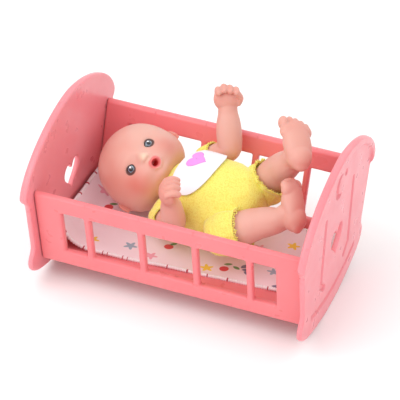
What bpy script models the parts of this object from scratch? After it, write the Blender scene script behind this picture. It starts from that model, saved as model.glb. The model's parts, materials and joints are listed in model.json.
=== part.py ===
"""A small vinyl baby doll lying on a quilt in its rocking cradle.

World frame: metres, +Z up, the rockers stand on Z = 0, X runs from the headboard (-X)
to the footboard (+X) and the front rail is at -Y. Every length below is a share of U,
the clear length between the two end panels.
"""
import math

import bmesh
import bpy
import numpy as np
from mathutils import Matrix, Vector

# ---------------------------------------------------------------- driving dimensions
U = 0.140                # clear length between the end panels
GAP = 0.0004 / U         # clearance between neighbouring pieces

RAIL_TOP_WIDTH = 0.70    # across the outer faces of the rails, at their top
RAIL_HEIGHT = 0.336
RAIL_WALL = 0.030
RAIL_LEAN = 0.24         # sideways run of a rail for each unit of height
RAIL_FLOOR_Z = 0.089     # height of the rails' lower edge over the ground

WINDOW_LOW, WINDOW_HIGH = 0.070, 0.263
SLAT_PITCH, SLAT_WIDTH = 0.202, 0.025
WINDOW_END = 0.400
WINDOW_CORNER = 0.020

PANEL_WALL = 0.0195
RIM_DEPTH = 0.028        # the arch's rim is thicker than the plate
PANEL_MARGIN = 0.045     # how far the plate stands past the rails
ARCH_HALF, ARCH_RISE, ARCH_BASE, ARCH_POWER = 0.412, 0.229, 0.329, 1.7
RIM_WIDTH = 0.030
ROCKER_RADIUS, ROCKER_LOW = 0.908, -0.089
ROCKER_FLAT = 0.075      # half of the flat the cradle stands on at rest
FOOT_HALF, FOOT_Z = 0.356, 0.022
WAIST_Z = 0.075
GROOVE_DEPTH = 0.008
GROOVE_WIDTH = 0.024
POST_DROP = 0.155        # from the arch down to the top of a sunk post
HEART_Z, HEART_SIZE = 0.203, 0.062

TAB = (0.012, 0.012, 0.050)       # rail tabs: into the panel, across the wall, height
TAB_HEIGHTS = (0.045, 0.300)

FLOOR_Z, FLOOR_WALL = 0.020, 0.014
QUILT_WALL, QUILT_LIFT = 0.014, 0.045

DOLL_CENTRE = (0.008, 0.068, 0.197)   # middle of the torso, over the rails' lower edge
DOLL_YAW, DOLL_ROLL = math.radians(12), math.radians(18)
SHOULDER, SHOULDER_AXIS = (0.156, 0.098, 0.0), (0.94, 0.34, 0.0)
HIP, HIP_AXIS = (0.128, -0.178, 0.040), (0.80, -0.60, 0.0)
ARM_RADIUS, THIGH_RADIUS = 0.040, 0.060
SHOULDER_SETBACK, HIP_SETBACK = 0.054, 0.070   # from a joint's centre back to the romper
CLOTH, SKIN_WALL = 0.008, 0.011
# a plug joint: centre, axis, setback, radius of the plug's stem and of its disc
SHOULDER_JOINT = (SHOULDER, SHOULDER_AXIS, SHOULDER_SETBACK, 0.018, 0.029)
HIP_JOINT = (HIP, HIP_AXIS, HIP_SETBACK, 0.024, 0.033)

HEAD_CENTRE = (-0.270, 0.125, 0.216)
HEAD_HALF = 0.155
HEAD_UP, HEAD_FRONT = (-0.962, 0.147, 0.230), (0.094, -0.610, 0.786)
NECK_LEVEL = -0.80       # the head's open base, in head half widths below its middle

# the torso's outline: height along the spine, half width, half depth
TORSO = ((-0.192, 0.018, 0.045), (-0.166, 0.046, 0.078), (-0.116, 0.084, 0.108),
         (-0.060, 0.113, 0.122), (0.000, 0.122, 0.124), (0.050, 0.108, 0.114),
         (0.090, 0.092, 0.097), (0.120, 0.072, 0.073), (0.138, 0.046, 0.048))

# hems as (station along the limb from its joint, outer radius), and their play on the limb
SLEEVE_HEM, SLEEVE_PLAY = ((0.022, 0.0490), (0.030, 0.0515), (0.042, 0.0515), (0.050, 0.0490)), 0.0060
LEG_HEM, LEG_PLAY = ((0.016, 0.0690), (0.028, 0.0730), (0.052, 0.0730), (0.060, 0.0700)), 0.0045

BIB_HALF, BIB_CENTRE, BIB_THICK = (0.132, 0.070), (0.026, 0.034), 0.008
HEART_HALF, HEART_CENTRE, HEART_THICK = (0.036, 0.028), (0.028, 0.038), 0.004
CLOSURE_SPAN, CLOSURE_HALF, CLOSURE_THICK = (-0.03, 0.09), 0.022, 0.006

PINK = (0.90, 0.24, 0.25)
SKIN = (0.86, 0.50, 0.40)
YELLOW = (0.93, 0.85, 0.22)


# ---------------------------------------------------------------- small helpers
def clear_scene():
    for item in list(bpy.data.objects):
        bpy.data.objects.remove(item, do_unlink=True)


def material(name, colour, roughness):
    mat = bpy.data.materials.new(name)
    mat.use_nodes = True
    shader = mat.node_tree.nodes["Principled BSDF"]
    shader.inputs["Base Color"].default_value = (*colour, 1.0)
    shader.inputs["Roughness"].default_value = roughness
    return mat


def make(name, vertices, faces, colour, roughness=0.5, parent=None, smooth=True):
    """One named object; vertices are in shares of U in the parent's own frame."""
    mesh = bpy.data.meshes.new(name)
    points = [tuple(float(c) * U for c in v) for v in vertices]
    mesh.from_pydata(points, [], faces)
    work = bmesh.new()
    work.from_mesh(mesh)
    bmesh.ops.recalc_face_normals(work, faces=work.faces)
    work.to_mesh(mesh)
    work.free()
    if smooth:
        mesh.shade_smooth()
        mesh.set_sharp_from_angle(angle=math.radians(35))
    mesh.materials.append(material(name, colour, roughness))
    item = bpy.data.objects.new(name, mesh)
    bpy.context.collection.objects.link(item)
    item.parent = parent
    return item


def combine(item, operation, vertices, faces):
    """Cut a shape from an object, or join one to it, with a Boolean modifier."""
    label = f"{item.name}_{operation.lower()}_{len(item.modifiers)}"
    other = make(label, vertices, faces, PINK, parent=item.parent)
    other.hide_render = True
    other.display_type = "WIRE"
    modifier = item.modifiers.new(label, "BOOLEAN")
    modifier.operation = operation
    modifier.object = other
    modifier.solver = "EXACT"


def loft(rings):
    """A closed body through rings of equal length, with a flat cap at each end."""
    count = len(rings[0])
    vertices = np.concatenate(rings)
    faces = [tuple(range(count))[::-1]]
    for level in range(len(rings) - 1):
        low = level * count
        for i in range(count):
            j = (i + 1) % count
            faces.append((low + i, low + j, low + count + j, low + count + i))
    faces.append(tuple(range(len(vertices) - count, len(vertices))))
    return vertices, faces


def sleeve(outer, inner):
    """A ring-shaped wall: outer and inner rings joined at both ends."""
    count = len(outer[0])
    rings = list(outer) + list(inner)[::-1]
    vertices = np.concatenate(rings)
    faces = []
    for level in range(len(rings)):
        low = level * count
        high = ((level + 1) % len(rings)) * count
        for i in range(count):
            j = (i + 1) % count
            faces.append((low + i, low + j, high + j, high + i))
    return vertices, faces


def extrude(outline, axis, start, end):
    """A closed outline in the plane across an axis, made solid between two stations."""
    outline = np.asarray(outline, float)
    rings = []
    for station in (start, end):
        ring = np.insert(outline, axis, station, axis=1)
        rings.append(ring)
    return loft(rings)


def unit(vector):
    vector = np.asarray(vector, float)
    return vector / np.linalg.norm(vector)


def frame_across(direction, hint=(0.0, 0.0, 1.0)):
    """Two unit vectors across a direction, the first as near the hint as it can be."""
    direction = unit(direction)
    hint = np.asarray(hint, float)
    first = unit(hint - direction * (hint @ direction))
    return first, np.cross(direction, first)


def ring(centre, first, second, count=16):
    angle = np.arange(count) * 2 * math.pi / count
    return np.asarray(centre) + np.outer(np.cos(angle), first) + np.outer(np.sin(angle), second)


def turned(base, axis, profile, count=16):
    """Rings turned about an axis; the profile lists (station, radius)."""
    axis = unit(axis)
    first, second = frame_across(axis, (0.1, 0.2, 1.0))
    base = np.asarray(base, float)
    return [ring(base + axis * s, first * r, second * r, count) for s, r in profile]


def arc(centre, radius, start, end, count):
    """Points along an arc, angles in degrees from the first axis."""
    angles = np.radians(np.linspace(start, end, count))
    radius = np.broadcast_to(radius, (2,))
    return np.column_stack([centre[0] + radius[0] * np.cos(angles),
                            centre[1] + radius[1] * np.sin(angles)])


def ground(z):
    """Heights are given over the rails' lower edge; the world starts at the ground."""
    return z + RAIL_FLOOR_Z


# ---------------------------------------------------------------- the cradle
def rail_edge(z):
    return RAIL_TOP_WIDTH / 2 - RAIL_LEAN * (RAIL_HEIGHT - z)


def arch(shrink, start, end, count):
    """The arch is a superellipse: (y / half) ** n + (z / rise) ** n = 1, n below 2."""
    angles = np.radians(np.linspace(start, end, count))
    across, rise = np.cos(angles), np.abs(np.sin(angles)) ** (2 / ARCH_POWER)
    y = np.sign(across) * np.abs(across) ** (2 / ARCH_POWER) * (ARCH_HALF - shrink)
    return np.column_stack([y, ARCH_BASE + rise * (ARCH_RISE - shrink)])


def panel_outline(shrink=0.0):
    """The plate: rocker, flared foot, leaning side and arched top, mirrored in Y."""
    centre_z = ROCKER_LOW + ROCKER_RADIUS
    start = math.degrees(math.asin(ROCKER_FLAT / ROCKER_RADIUS))
    rocker = arc((0, centre_z), ROCKER_RADIUS, -90 + start, -71, 7)
    rocker[0][1] = ROCKER_LOW
    foot = arc((FOOT_HALF - 0.045, FOOT_Z), 0.045, -62, 25, 5)
    side = [(rail_edge(z) + PANEL_MARGIN, z) for z in (WAIST_Z, ARCH_BASE - 0.02)]
    top = arch(shrink, 8, 90, 13)
    half = np.concatenate([rocker, foot, side, top])
    other = half[::-1][1:] * (-1, 1)
    outline = np.concatenate([half, other])
    return np.column_stack([outline[:, 0], ground(outline[:, 1])])


def rim_outline():
    """The arch's raised rim, with rounded ends that overhang the plate."""
    outer = arch(0.0, 2, 178, 25)
    inner = arch(RIM_WIDTH, 178, 2, 25)
    outline = np.concatenate([outer, inner])
    return np.column_stack([outline[:, 0], ground(outline[:, 1])])


def heart_outline(size, centre, count=22):
    """The classic heart curve: x = sin cubed, y from four cosines, scaled to size."""
    t = np.arange(count) * 2 * math.pi / count
    x = np.sin(t) ** 3
    y = (13 * np.cos(t) - 5 * np.cos(2 * t) - 2 * np.cos(3 * t) - np.cos(4 * t)) / 16
    return np.column_stack([centre[0] + size * x, centre[1] + size * (y + 0.1)])


def stroke(points, width):
    """A groove of constant width along a run of points."""
    points = np.asarray(points, float)
    along = np.gradient(points, axis=0)
    along /= np.linalg.norm(along, axis=1)[:, None]
    side = np.column_stack([-along[:, 1], along[:, 0]]) * width / 2
    return np.concatenate([points + side, (points - side)[::-1]])


def crescent(centre, radius):
    outer = arc(centre, radius, 60, 300, 9)
    inner = arc((centre[0] + radius * 0.55, centre[1]), radius * 0.85, 248, 112, 7)
    return np.concatenate([outer, inner])


def panel_grooves():
    """Decoration sunk in the outer face: two posts, a bow over the rocker, a moon, a dot."""
    shapes = []
    for y in (-0.155, 0.155):
        share = (1 - (abs(y) / ARCH_HALF) ** ARCH_POWER) ** (1 / ARCH_POWER)
        top = ARCH_BASE + ARCH_RISE * share - POST_DROP
        shapes.append(stroke([(y, top), (y, 0.22), (y, 0.10), (y - 0.045, 0.07)], GROOVE_WIDTH))
    bow = arc((0, ROCKER_LOW + ROCKER_RADIUS), ROCKER_RADIUS - 0.078, -107, -73, 9)
    shapes.append(stroke(bow, GROOVE_WIDTH))
    shapes.append(crescent((-0.015, 0.440), 0.045))
    shapes.append(arc((0.052, 0.462), 0.013, 0, 324, 10))
    return [np.column_stack([s[:, 0], ground(s[:, 1])]) for s in shapes]


def end_panel(name, side):
    """An end panel; side is -1 at the head and +1 at the foot of the cradle."""
    inner = side * 0.5
    item = make(name, *extrude(panel_outline(0.004), 0, inner, inner + side * PANEL_WALL),
                PINK, 0.35)
    combine(item, "UNION", *extrude(rim_outline(), 0, inner + side * 0.001,
                                    inner + side * RIM_DEPTH))
    heart = heart_outline(HEART_SIZE, (0.0, ground(HEART_Z)))
    combine(item, "DIFFERENCE", *extrude(heart, 0, inner - side * 0.02, inner + side * 0.06))
    face = inner + side * PANEL_WALL
    for shape in panel_grooves():
        combine(item, "DIFFERENCE", *extrude(shape, 0, face - side * GROOVE_DEPTH,
                                             face + side * 0.02))
    for rail_side in (-1, 1):
        for z in TAB_HEIGHTS:
            combine(item, "DIFFERENCE", *tab_box(side, rail_side, z, 2.0 * GAP))
    return item


def tab_box(end, rail_side, z, grow):
    """The block of a rail's end tab; grown by the clearance for the slot it enters."""
    length, across, height = TAB
    start = end * (0.5 - 0.02)
    stop = end * (0.5 + length - GAP + grow)
    y = rail_side * (rail_edge(z) - RAIL_WALL / 2)
    half_y, half_z = across / 2 + grow / 2, height / 2 + grow / 2
    outline = [(y - half_y, ground(z) - half_z), (y + half_y, ground(z) - half_z),
               (y + half_y, ground(z) + half_z), (y - half_y, ground(z) + half_z)]
    return extrude(outline, 0, start, stop)


def window_spans():
    """The five windows of a rail, from the slats that divide them."""
    slats = [(-1.5 + i) * SLAT_PITCH for i in range(4)]
    edges = [-WINDOW_END]
    for centre in slats:
        edges += [centre - SLAT_WIDTH / 2, centre + SLAT_WIDTH / 2]
    edges.append(WINDOW_END)
    return [(edges[2 * i], edges[2 * i + 1]) for i in range(5)]


def window_outline(left, right, low, high):
    """A window in the X-Z plane; only corners at the ends of the row are rounded."""
    r = WINDOW_CORNER
    points = []
    for x, z, sx, sz, start in ((left, low, 1, 1, 180), (right, low, -1, 1, 270),
                                (right, high, -1, -1, 0), (left, high, 1, -1, 90)):
        if abs(x) > WINDOW_END - 0.001:
            points.append(arc((x + sx * r, z + sz * r), r, start, start + 90, 4))
        else:
            points.append(np.array([(x, z)]))
    outline = np.concatenate(points)
    return np.column_stack([outline[:, 0], ground(outline[:, 1])])


def side_rail(name, side):
    low, high = rail_edge(0), rail_edge(RAIL_HEIGHT)
    lip = 0.006
    profile = [(low, 0), (high - lip * 0.3, RAIL_HEIGHT - lip), (high - lip, RAIL_HEIGHT),
               (high - RAIL_WALL + lip, RAIL_HEIGHT),
               (high - RAIL_WALL - lip * 0.3, RAIL_HEIGHT - lip), (low - RAIL_WALL, 0)]
    profile = [(side * y, ground(z)) for y, z in profile]
    item = make(name, *extrude(profile, 0, -0.5 + GAP, 0.5 - GAP), PINK, 0.35)
    for left, right in window_spans():
        outline = window_outline(left, right, WINDOW_LOW, WINDOW_HIGH)
        y_near, y_far = side * (low - 0.08), side * (high + 0.02)
        combine(item, "DIFFERENCE", *extrude(outline, 1, y_near, y_far))
    for end in (-1, 1):
        for z in TAB_HEIGHTS:
            combine(item, "UNION", *tab_box(end, side, z, 0.0))
    return item


def tray_floor():
    """The floor plate, held between the rails with its edges cut to their lean."""
    def edge(z):
        return rail_edge(z) - RAIL_WALL - GAP
    low, high = FLOOR_Z, FLOOR_Z + FLOOR_WALL
    profile = [(-edge(low), ground(low)), (edge(low), ground(low)),
               (edge(high), ground(high)), (-edge(high), ground(high))]
    return make("tray_floor", *extrude(profile, 0, -0.5 + GAP, 0.5 - GAP), PINK, 0.4)


def quilt_height(x):
    """The quilt lies flat and turns up where it meets the headboard."""
    rise = min(max((-0.40 - x) / 0.08, 0.0), 1.0)
    return FLOOR_Z + FLOOR_WALL + GAP + QUILT_LIFT * rise ** 2


def quilt():
    """A thin pad on the tray floor."""
    across = rail_edge(FLOOR_Z + FLOOR_WALL) - RAIL_WALL - 0.012
    xs, ys = np.linspace(-0.482, 0.470, 14), np.linspace(-across, across, 7)
    rings = []
    for x in xs:
        low = np.column_stack([np.full(7, x), ys, np.full(7, ground(quilt_height(x)))])
        high = low[::-1] + (0, 0, QUILT_WALL)
        rings.append(np.concatenate([low, high]))
    return make("quilt", *loft(rings), (0.95, 0.80, 0.84), 0.9)


# ---------------------------------------------------------------- the doll
def doll_frame():
    """Left, up and front of the lying doll, as world directions."""
    left = np.array([math.sin(DOLL_YAW) * math.cos(DOLL_ROLL),
                     math.cos(DOLL_YAW) * math.cos(DOLL_ROLL), math.sin(DOLL_ROLL)])
    up = np.array([-math.cos(DOLL_YAW), math.sin(DOLL_YAW), 0.0])
    return left, up, np.cross(left, up)


def empty(name, location, columns=None, parent=None):
    """An empty at a place given in shares of U, its axes along the given columns."""
    item = bpy.data.objects.new(name, None)
    bpy.context.collection.objects.link(item)
    matrix = Matrix.Identity(4)
    if columns is not None:
        for index, column in enumerate(columns):
            matrix.col[index][:3] = column
    matrix.translation = Vector([float(c) * U for c in location])
    item.parent = parent
    item.matrix_local = matrix
    return item


def torso_rings(grow, count=20):
    """Elliptical rings round the spine, grown outwards by the same amount all round."""
    rings = []
    last = len(TORSO) - 1
    for index, (height, width, depth) in enumerate(TORSO):
        height += grow * (-1 if index == 0 else 1 if index == last else 0)
        rings.append(ring((0, height, 0), (width + grow, 0, 0), (0, 0, -depth - grow), count))
    return rings


def plug_depth(setback):
    """From a joint's centre back to the near face of its plug's disc."""
    return setback + CLOTH + SKIN_WALL + 3 * GAP


def limb_plug(item, plug_joint, side):
    """The mushroom plug that snaps a limb into the torso's hole."""
    joint, axis, setback, stem, disc = plug_joint
    back = plug_depth(setback)
    profile = [(-back - 0.010, disc - 0.004), (-back - 0.008, disc), (-back, disc),
               (-back + 0.0005, stem), (-0.010, stem)]
    rings = turned(mirrored(joint, side), mirrored(axis, side), profile, 14)
    combine(item, "UNION", *loft(rings))


def mirrored(vector, side):
    return (vector[0] * side, vector[1], vector[2])


def torso(parent):
    item = make("torso_shell", *loft(torso_rings(-GAP)), SKIN, 0.5, parent)
    combine(item, "DIFFERENCE", *loft(torso_rings(-GAP - SKIN_WALL)[1:-1]))
    for side in (-1, 1):
        for joint, axis, setback, stem, disc in (SHOULDER_JOINT, HIP_JOINT):
            back = plug_depth(setback)
            bore = [(-back - 0.010 - GAP, disc + GAP), (-back + GAP, disc + GAP),
                    (-back + GAP * 1.1, stem + GAP), (-0.03, stem + GAP)]
            shaft = turned(mirrored(joint, side), mirrored(axis, side), bore, 14)
            combine(item, "DIFFERENCE", *loft(shaft))
    return item


def neck(parent):
    """The neck stub and the knob that holds the head, turned about the head's axis."""
    a = HEAD_HALF
    profile = [(NECK_LEVEL * a - 0.009, 0.030), (NECK_LEVEL * a + 0.026, 0.030),
               (NECK_LEVEL * a + 0.0265, 0.046), (NECK_LEVEL * a + 0.036, 0.046),
               (NECK_LEVEL * a + 0.044, 0.030)]
    return make("neck_plug", *loft(turned((0, 0, 0), (0, 1, 0), profile, 16)), SKIN, 0.5, parent)


def romper(parent):
    """The terry romper: a cloth wall round the torso, open at neck, arms and legs."""
    item = make("romper", *loft(torso_rings(CLOTH)[:-1]), YELLOW, 0.9, parent)
    combine(item, "DIFFERENCE", *loft(torso_rings(0.0)))
    for side in (-1, 1):
        for joint, axis, setback, stem, _ in (SHOULDER_JOINT, HIP_JOINT):
            hole = stem + 2 * GAP
            shaft = turned(mirrored(joint, side), mirrored(axis, side),
                           [(-plug_depth(setback), hole), (-0.02, hole)], 14)
            combine(item, "DIFFERENCE", *loft(shaft))
    return item


def neck_band(parent):
    """The folded band round the romper's neck, just over its open edge."""
    height, width, depth = TORSO[-2]
    height += 0.006
    outer, inner = [], []
    for lift, swell in ((0.0, 0.004), (0.005, 0.008), (0.010, 0.004)):
        reach = CLOTH + swell - 0.004 - 0.14 * lift
        outer.append(ring((0, height + lift, 0), (width + reach, 0, 0), (0, 0, -depth - reach), 20))
        inner.append(ring((0, height + lift, 0), (width + GAP, 0, 0), (0, 0, -depth - GAP), 20))
    return make("romper_neck_band", *sleeve(outer, inner), YELLOW, 0.9, parent)


def bib_patch(half, centre, lift, thick, rows=9, columns=12):
    """An oval cloth patch that follows the romper's front between two depths."""
    heights, widths, depths = np.array(TORSO).T
    order = np.argsort(heights)
    layers = []
    for level in (lift, lift + thick):
        points = []
        for radius in np.linspace(0.12, 1.0, rows):
            angle = np.arange(columns * 2) * math.pi / columns
            x = centre[0] + half[0] * radius * np.cos(angle)
            y = centre[1] + half[1] * radius * np.sin(angle)
            width = np.interp(y, heights[order], widths[order]) + level
            depth = np.interp(y, heights[order], depths[order]) + level
            bend = x / width
            points.append(np.column_stack([width * np.sin(bend), y, depth * np.cos(bend)]))
        layers.append(points)
    return loft(layers[0] + layers[1][::-1])


def bib(parent):
    base = CLOTH + 2 * GAP
    make("bib", *bib_patch(BIB_HALF, BIB_CENTRE, base, BIB_THICK), (0.95, 0.95, 0.97), 0.8, parent)
    make("bib_heart", *bib_patch(HEART_HALF, HEART_CENTRE, base + BIB_THICK + GAP, HEART_THICK, 4, 8),
         (0.93, 0.55, 0.86), 0.7, parent)


def back_closure(parent):
    """The hook-and-loop strip that closes the romper down the back."""
    heights, _, depths = np.array(TORSO).T
    strip = []
    for y in np.linspace(*CLOSURE_SPAN, 6):
        near = -np.interp(y, heights, depths) - CLOTH - 2 * GAP
        far = near - CLOSURE_THICK
        strip.append(np.array([(-CLOSURE_HALF, y, near), (CLOSURE_HALF, y, near),
                               (CLOSURE_HALF, y, far), (-CLOSURE_HALF, y, far)]))
    make("back_closure", *loft(strip), (0.95, 0.95, 0.92), 0.9, parent, smooth=False)


def catmull(points, count):
    """A smooth curve through the points (any number of columns), evenly in parameter."""
    points = np.asarray(points, float)
    padded = np.vstack([2 * points[0] - points[1], points, 2 * points[-1] - points[-2]])
    out = []
    for t in np.linspace(0, len(points) - 1, count):
        i = min(int(t), len(points) - 2)
        f = t - i
        p0, p1, p2, p3 = padded[i:i + 4]
        out.append(0.5 * (2 * p1 + (p2 - p0) * f + (2 * p0 - 5 * p1 + 4 * p2 - p3) * f ** 2
                          + (3 * p1 - p0 - 3 * p2 + p3) * f ** 3))
    return np.array(out)


def arm_rings(stations, hint, count=14):
    """Rings along the arm; a station is x, y, z, thickness, width."""
    curve = catmull(stations, 13)
    tangents = np.gradient(curve[:, :3], axis=0)
    rings = []
    for point, tangent in zip(curve, tangents):
        first, second = frame_across(tangent, hint)
        rings.append(ring(point[:3], first * max(point[3], 0.004),
                          second * max(point[4], 0.004), count))
    return rings


def arm(name, side, elbow, forearm, parent):
    """Upper arm, elbow, forearm and a loosely closed fist, in the doll's frame."""
    shoulder = np.array(mirrored(SHOULDER, side))
    elbow, forearm = np.asarray(elbow), unit(forearm)
    upper = unit(elbow - shoulder)
    r = ARM_RADIUS
    stations = [(*(shoulder - upper * r), 0.006, 0.006), (*(shoulder - upper * r * 0.8), 0.024, 0.024),
                (*(shoulder - upper * r * 0.3), r * 0.95, r * 0.95), (*(shoulder + upper * 0.03), r, r),
                (*elbow, r * 1.02, r * 1.02), (*(elbow + forearm * 0.07), r, r * 1.02),
                (*(elbow + forearm * 0.125), r * 0.86, r * 0.86),
                (*(elbow + forearm * 0.165), r * 0.80, r * 0.98),
                (*(elbow + forearm * 0.205), r * 0.76, r * 1.04),
                (*(elbow + forearm * 0.238), r * 0.48, r * 0.72),
                (*(elbow + forearm * 0.250), 0.006, 0.008)]
    hint = (side * 0.2, 1.0, -0.3)
    rings = arm_rings(stations, hint)
    item = make(name, *loft(rings), SKIN, 0.5, parent)
    limb_plug(item, SHOULDER_JOINT, side)
    outer = turned(shoulder, upper, SLEEVE_HEM, 18)
    inner = turned(shoulder, upper, [(s, r + SLEEVE_PLAY) for s, _ in SLEEVE_HEM], 18)
    make(name.replace("arm", "sleeve_hem"), *sleeve(outer, inner), YELLOW, 0.9, parent)


def leg(name, side, direction, toes, parent):
    """Thigh, calf and foot as sections along the leg, in the doll's frame."""
    hip = np.array(mirrored(HIP, side))
    axis = unit(direction)
    toe, across = frame_across(axis, toes)
    r = THIGH_RADIUS
    sections = [(-r, 0.008, 0.008, 0), (-r * 0.85, r * 0.53, r * 0.53, 0), (-r * 0.5, r * 0.87, r * 0.87, 0),
                (0.0, r, r, 0), (0.050, r, r, 0.003), (0.100, r * 0.93, r * 0.95, 0.006),
                (0.145, r * 0.84, r * 0.88, 0.004), (0.190, r * 0.74, r * 0.74, 0.0),
                (0.218, 0.050, 0.046, 0.006), (0.240, 0.076, 0.052, 0.030),
                (0.264, 0.094, 0.060, 0.044), (0.284, 0.095, 0.060, 0.045),
                (0.298, 0.080, 0.046, 0.044)]
    rings = [ring(hip + axis * s + toe * shift, toe * long, across * wide, 16)
             for s, long, wide, shift in sections]
    item = make(name, *loft(rings), SKIN, 0.5, parent)
    limb_plug(item, HIP_JOINT, side)
    outer = turned(hip, axis, LEG_HEM, 20)
    inner = turned(hip, axis, [(s, r + LEG_PLAY) for s, _ in LEG_HEM], 20)
    make(name.replace("leg", "leg_hem"), *sleeve(outer, inner), YELLOW, 0.9, parent)


# the head's outline: height, half width, reach to the front, reach to the back
HEAD = ((-0.80, 0.36, 0.34, 0.34), (-0.79, 0.62, 0.66, 0.52), (-0.66, 0.82, 0.86, 0.70),
        (-0.44, 0.96, 0.95, 0.88), (-0.16, 1.00, 0.96, 0.98), (0.14, 0.97, 0.95, 1.02),
        (0.40, 0.88, 0.88, 0.97), (0.64, 0.73, 0.73, 0.80), (0.82, 0.53, 0.54, 0.58),
        (0.94, 0.30, 0.30, 0.33), (0.985, 0.10, 0.10, 0.11))


def head_rings(grow, count=24):
    """Egg-shaped rings up the head, with separate reach to the front and the back."""
    angle = np.arange(count) * 2 * math.pi / count
    rings = []
    for height, width, front, back in HEAD:
        reach = np.where(np.sin(angle) > 0, front, back) * HEAD_HALF + grow
        across = (width * HEAD_HALF + grow) * np.cos(angle)
        level = height * HEAD_HALF + grow * (1 if height > 0.9 else 0)
        rings.append(np.column_stack([across, np.full(count, level), -reach * -np.sin(angle)]))
    return rings


def head(parent):
    """The vinyl head, open at the base where the neck plug enters."""
    a = HEAD_HALF
    item = make("head_shell", *loft([r[::-1] for r in head_rings(0.0)]), SKIN, 0.5, parent)
    inside = head_rings(-SKIN_WALL)[1:]
    inside[0] = inside[0] + (0, SKIN_WALL, 0)
    combine(item, "DIFFERENCE", *loft([r[::-1] for r in inside]))
    mouth = turned((0, 0, 0), (0, 1, 0), [(-a, 0.0345), (NECK_LEVEL * a + 0.022, 0.0345)], 16)
    combine(item, "DIFFERENCE", *loft(mouth))
    for side, name in ((1, "left"), (-1, "right")):
        direction = unit((side * 0.37, 0.02, 0.90))
        socket = turned((0, 0, 0), direction, [(0.70 * a, 0.0225), (1.2 * a, 0.0225)], 14)
        combine(item, "DIFFERENCE", *loft(socket))
        lens = [(0.83 * a, 0.0195), (0.955 * a, 0.0195), (0.975 * a, 0.014), (0.985 * a, 0.006)]
        make(f"eye_{name}", *loft(turned((0, 0, 0), direction, lens, 14)),
             (0.16, 0.20, 0.27), 0.1, parent)
    return item


def doll():
    left, up, front = doll_frame()
    centre = np.array(DOLL_CENTRE) + (0, 0, RAIL_FLOOR_Z)
    body = empty("doll", centre, (left, up, front))
    torso(body)
    romper(body)
    neck_band(body)
    bib(body)
    back_closure(body)

    def local(direction):
        return np.array([left @ direction, up @ direction, front @ direction])

    arm("arm_left", 1, (0.192, 0.016, 0.060), local(unit((-0.240, 0.360, 0.900))), body)
    arm("arm_right", -1, (-0.192, 0.016, 0.060), local(unit((0.000, -0.370, 0.930))), body)
    leg("leg_left", 1, local((0.518, -0.310, 0.797)), local((-0.410, 0.728, 0.551)), body)
    leg("leg_right", -1, local((0.876, 0.074, 0.477)), local((-0.379, 0.718, 0.585)), body)

    head_up = unit(HEAD_UP)
    head_front, head_left = frame_across(head_up, HEAD_FRONT)
    place = np.array(HEAD_CENTRE) + (0, 0, RAIL_FLOOR_Z)
    skull = empty("head", place, (head_left, head_up, head_front))
    neck(skull)
    head(skull)


def main():
    clear_scene()
    end_panel("headboard", -1)
    end_panel("footboard", 1)
    side_rail("side_rail_front", -1)
    side_rail("side_rail_back", 1)
    tray_floor()
    quilt()
    doll()


main()
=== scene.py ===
# %% [markdown]
# A vinyl baby doll lies on a printed quilt in a small rocking cradle of moulded pink plastic.
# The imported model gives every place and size: this script only makes the looks around it.
# The first cell loads that model, the second keeps the few lengths that the rest is worked out from.

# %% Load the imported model
import json
import math

import bmesh
import bpy
import numpy as np
from mathutils import Matrix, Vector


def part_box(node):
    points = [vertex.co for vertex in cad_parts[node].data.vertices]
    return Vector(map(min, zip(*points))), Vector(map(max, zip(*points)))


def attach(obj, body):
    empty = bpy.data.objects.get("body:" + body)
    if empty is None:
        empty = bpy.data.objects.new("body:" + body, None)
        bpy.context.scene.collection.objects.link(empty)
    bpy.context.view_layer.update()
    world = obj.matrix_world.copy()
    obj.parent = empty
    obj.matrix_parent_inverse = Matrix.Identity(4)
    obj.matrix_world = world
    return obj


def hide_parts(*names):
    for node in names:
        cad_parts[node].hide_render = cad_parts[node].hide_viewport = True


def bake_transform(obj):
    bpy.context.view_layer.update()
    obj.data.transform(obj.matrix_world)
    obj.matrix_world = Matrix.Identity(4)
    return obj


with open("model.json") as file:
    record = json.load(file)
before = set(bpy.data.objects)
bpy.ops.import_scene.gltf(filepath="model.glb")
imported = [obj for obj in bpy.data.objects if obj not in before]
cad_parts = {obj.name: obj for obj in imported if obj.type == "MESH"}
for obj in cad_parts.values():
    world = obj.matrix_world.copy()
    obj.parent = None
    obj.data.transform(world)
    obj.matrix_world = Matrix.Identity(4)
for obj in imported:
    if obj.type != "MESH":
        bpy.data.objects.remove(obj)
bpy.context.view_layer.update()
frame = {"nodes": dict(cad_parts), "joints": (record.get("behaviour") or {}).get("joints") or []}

# %% [markdown]
# One length drives the toy: L, the clear length between the two end panels. Heights in the
# cradle are counted from the rails' lower edge. The doll has axes of its own, found from
# its joints: left runs from the right shoulder to the left one, up is what the two shoulder
# axes have in common, and front is across both. The head has its own three axes too.

# %% Driving lengths and the doll's axes
rail_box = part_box("side_rail_front")
inner_head, inner_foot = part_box("headboard")[1][0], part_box("footboard")[0][0]
L = round(float(inner_foot - inner_head), 4)
GROUND = float(rail_box[0][2])
joints = {joint["name"]: joint for joint in frame["joints"]}


def unit(vector):
    vector = np.asarray(vector, float)
    return vector / np.linalg.norm(vector, axis=-1, keepdims=True)


def joint_place(name):
    return np.array(joints[name]["pos_m"], float)


def square_axes(up, front):
    """Left, up and front as rows: front is turned square to up, and left crosses the two."""
    up = unit(up)
    front = unit(front - up * (front @ up))
    return np.array([np.cross(up, front), up, front])


shoulders = joint_place("shoulder_left"), joint_place("shoulder_right")
doll_up = unit(sum(np.array(joints[f"shoulder_{side}"]["axis"]) for side in ("left", "right")))
doll_left = unit(shoulders[0] - shoulders[1])
DOLL = np.array([doll_left, doll_up, np.cross(doll_left, doll_up)])
SHOULDER, HIP = np.array([0.156, 0.098, 0.0]), np.array([0.128, -0.178, 0.040])
doll_middle = sum(shoulders) / 2 - doll_up * SHOULDER[1] * L

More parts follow.
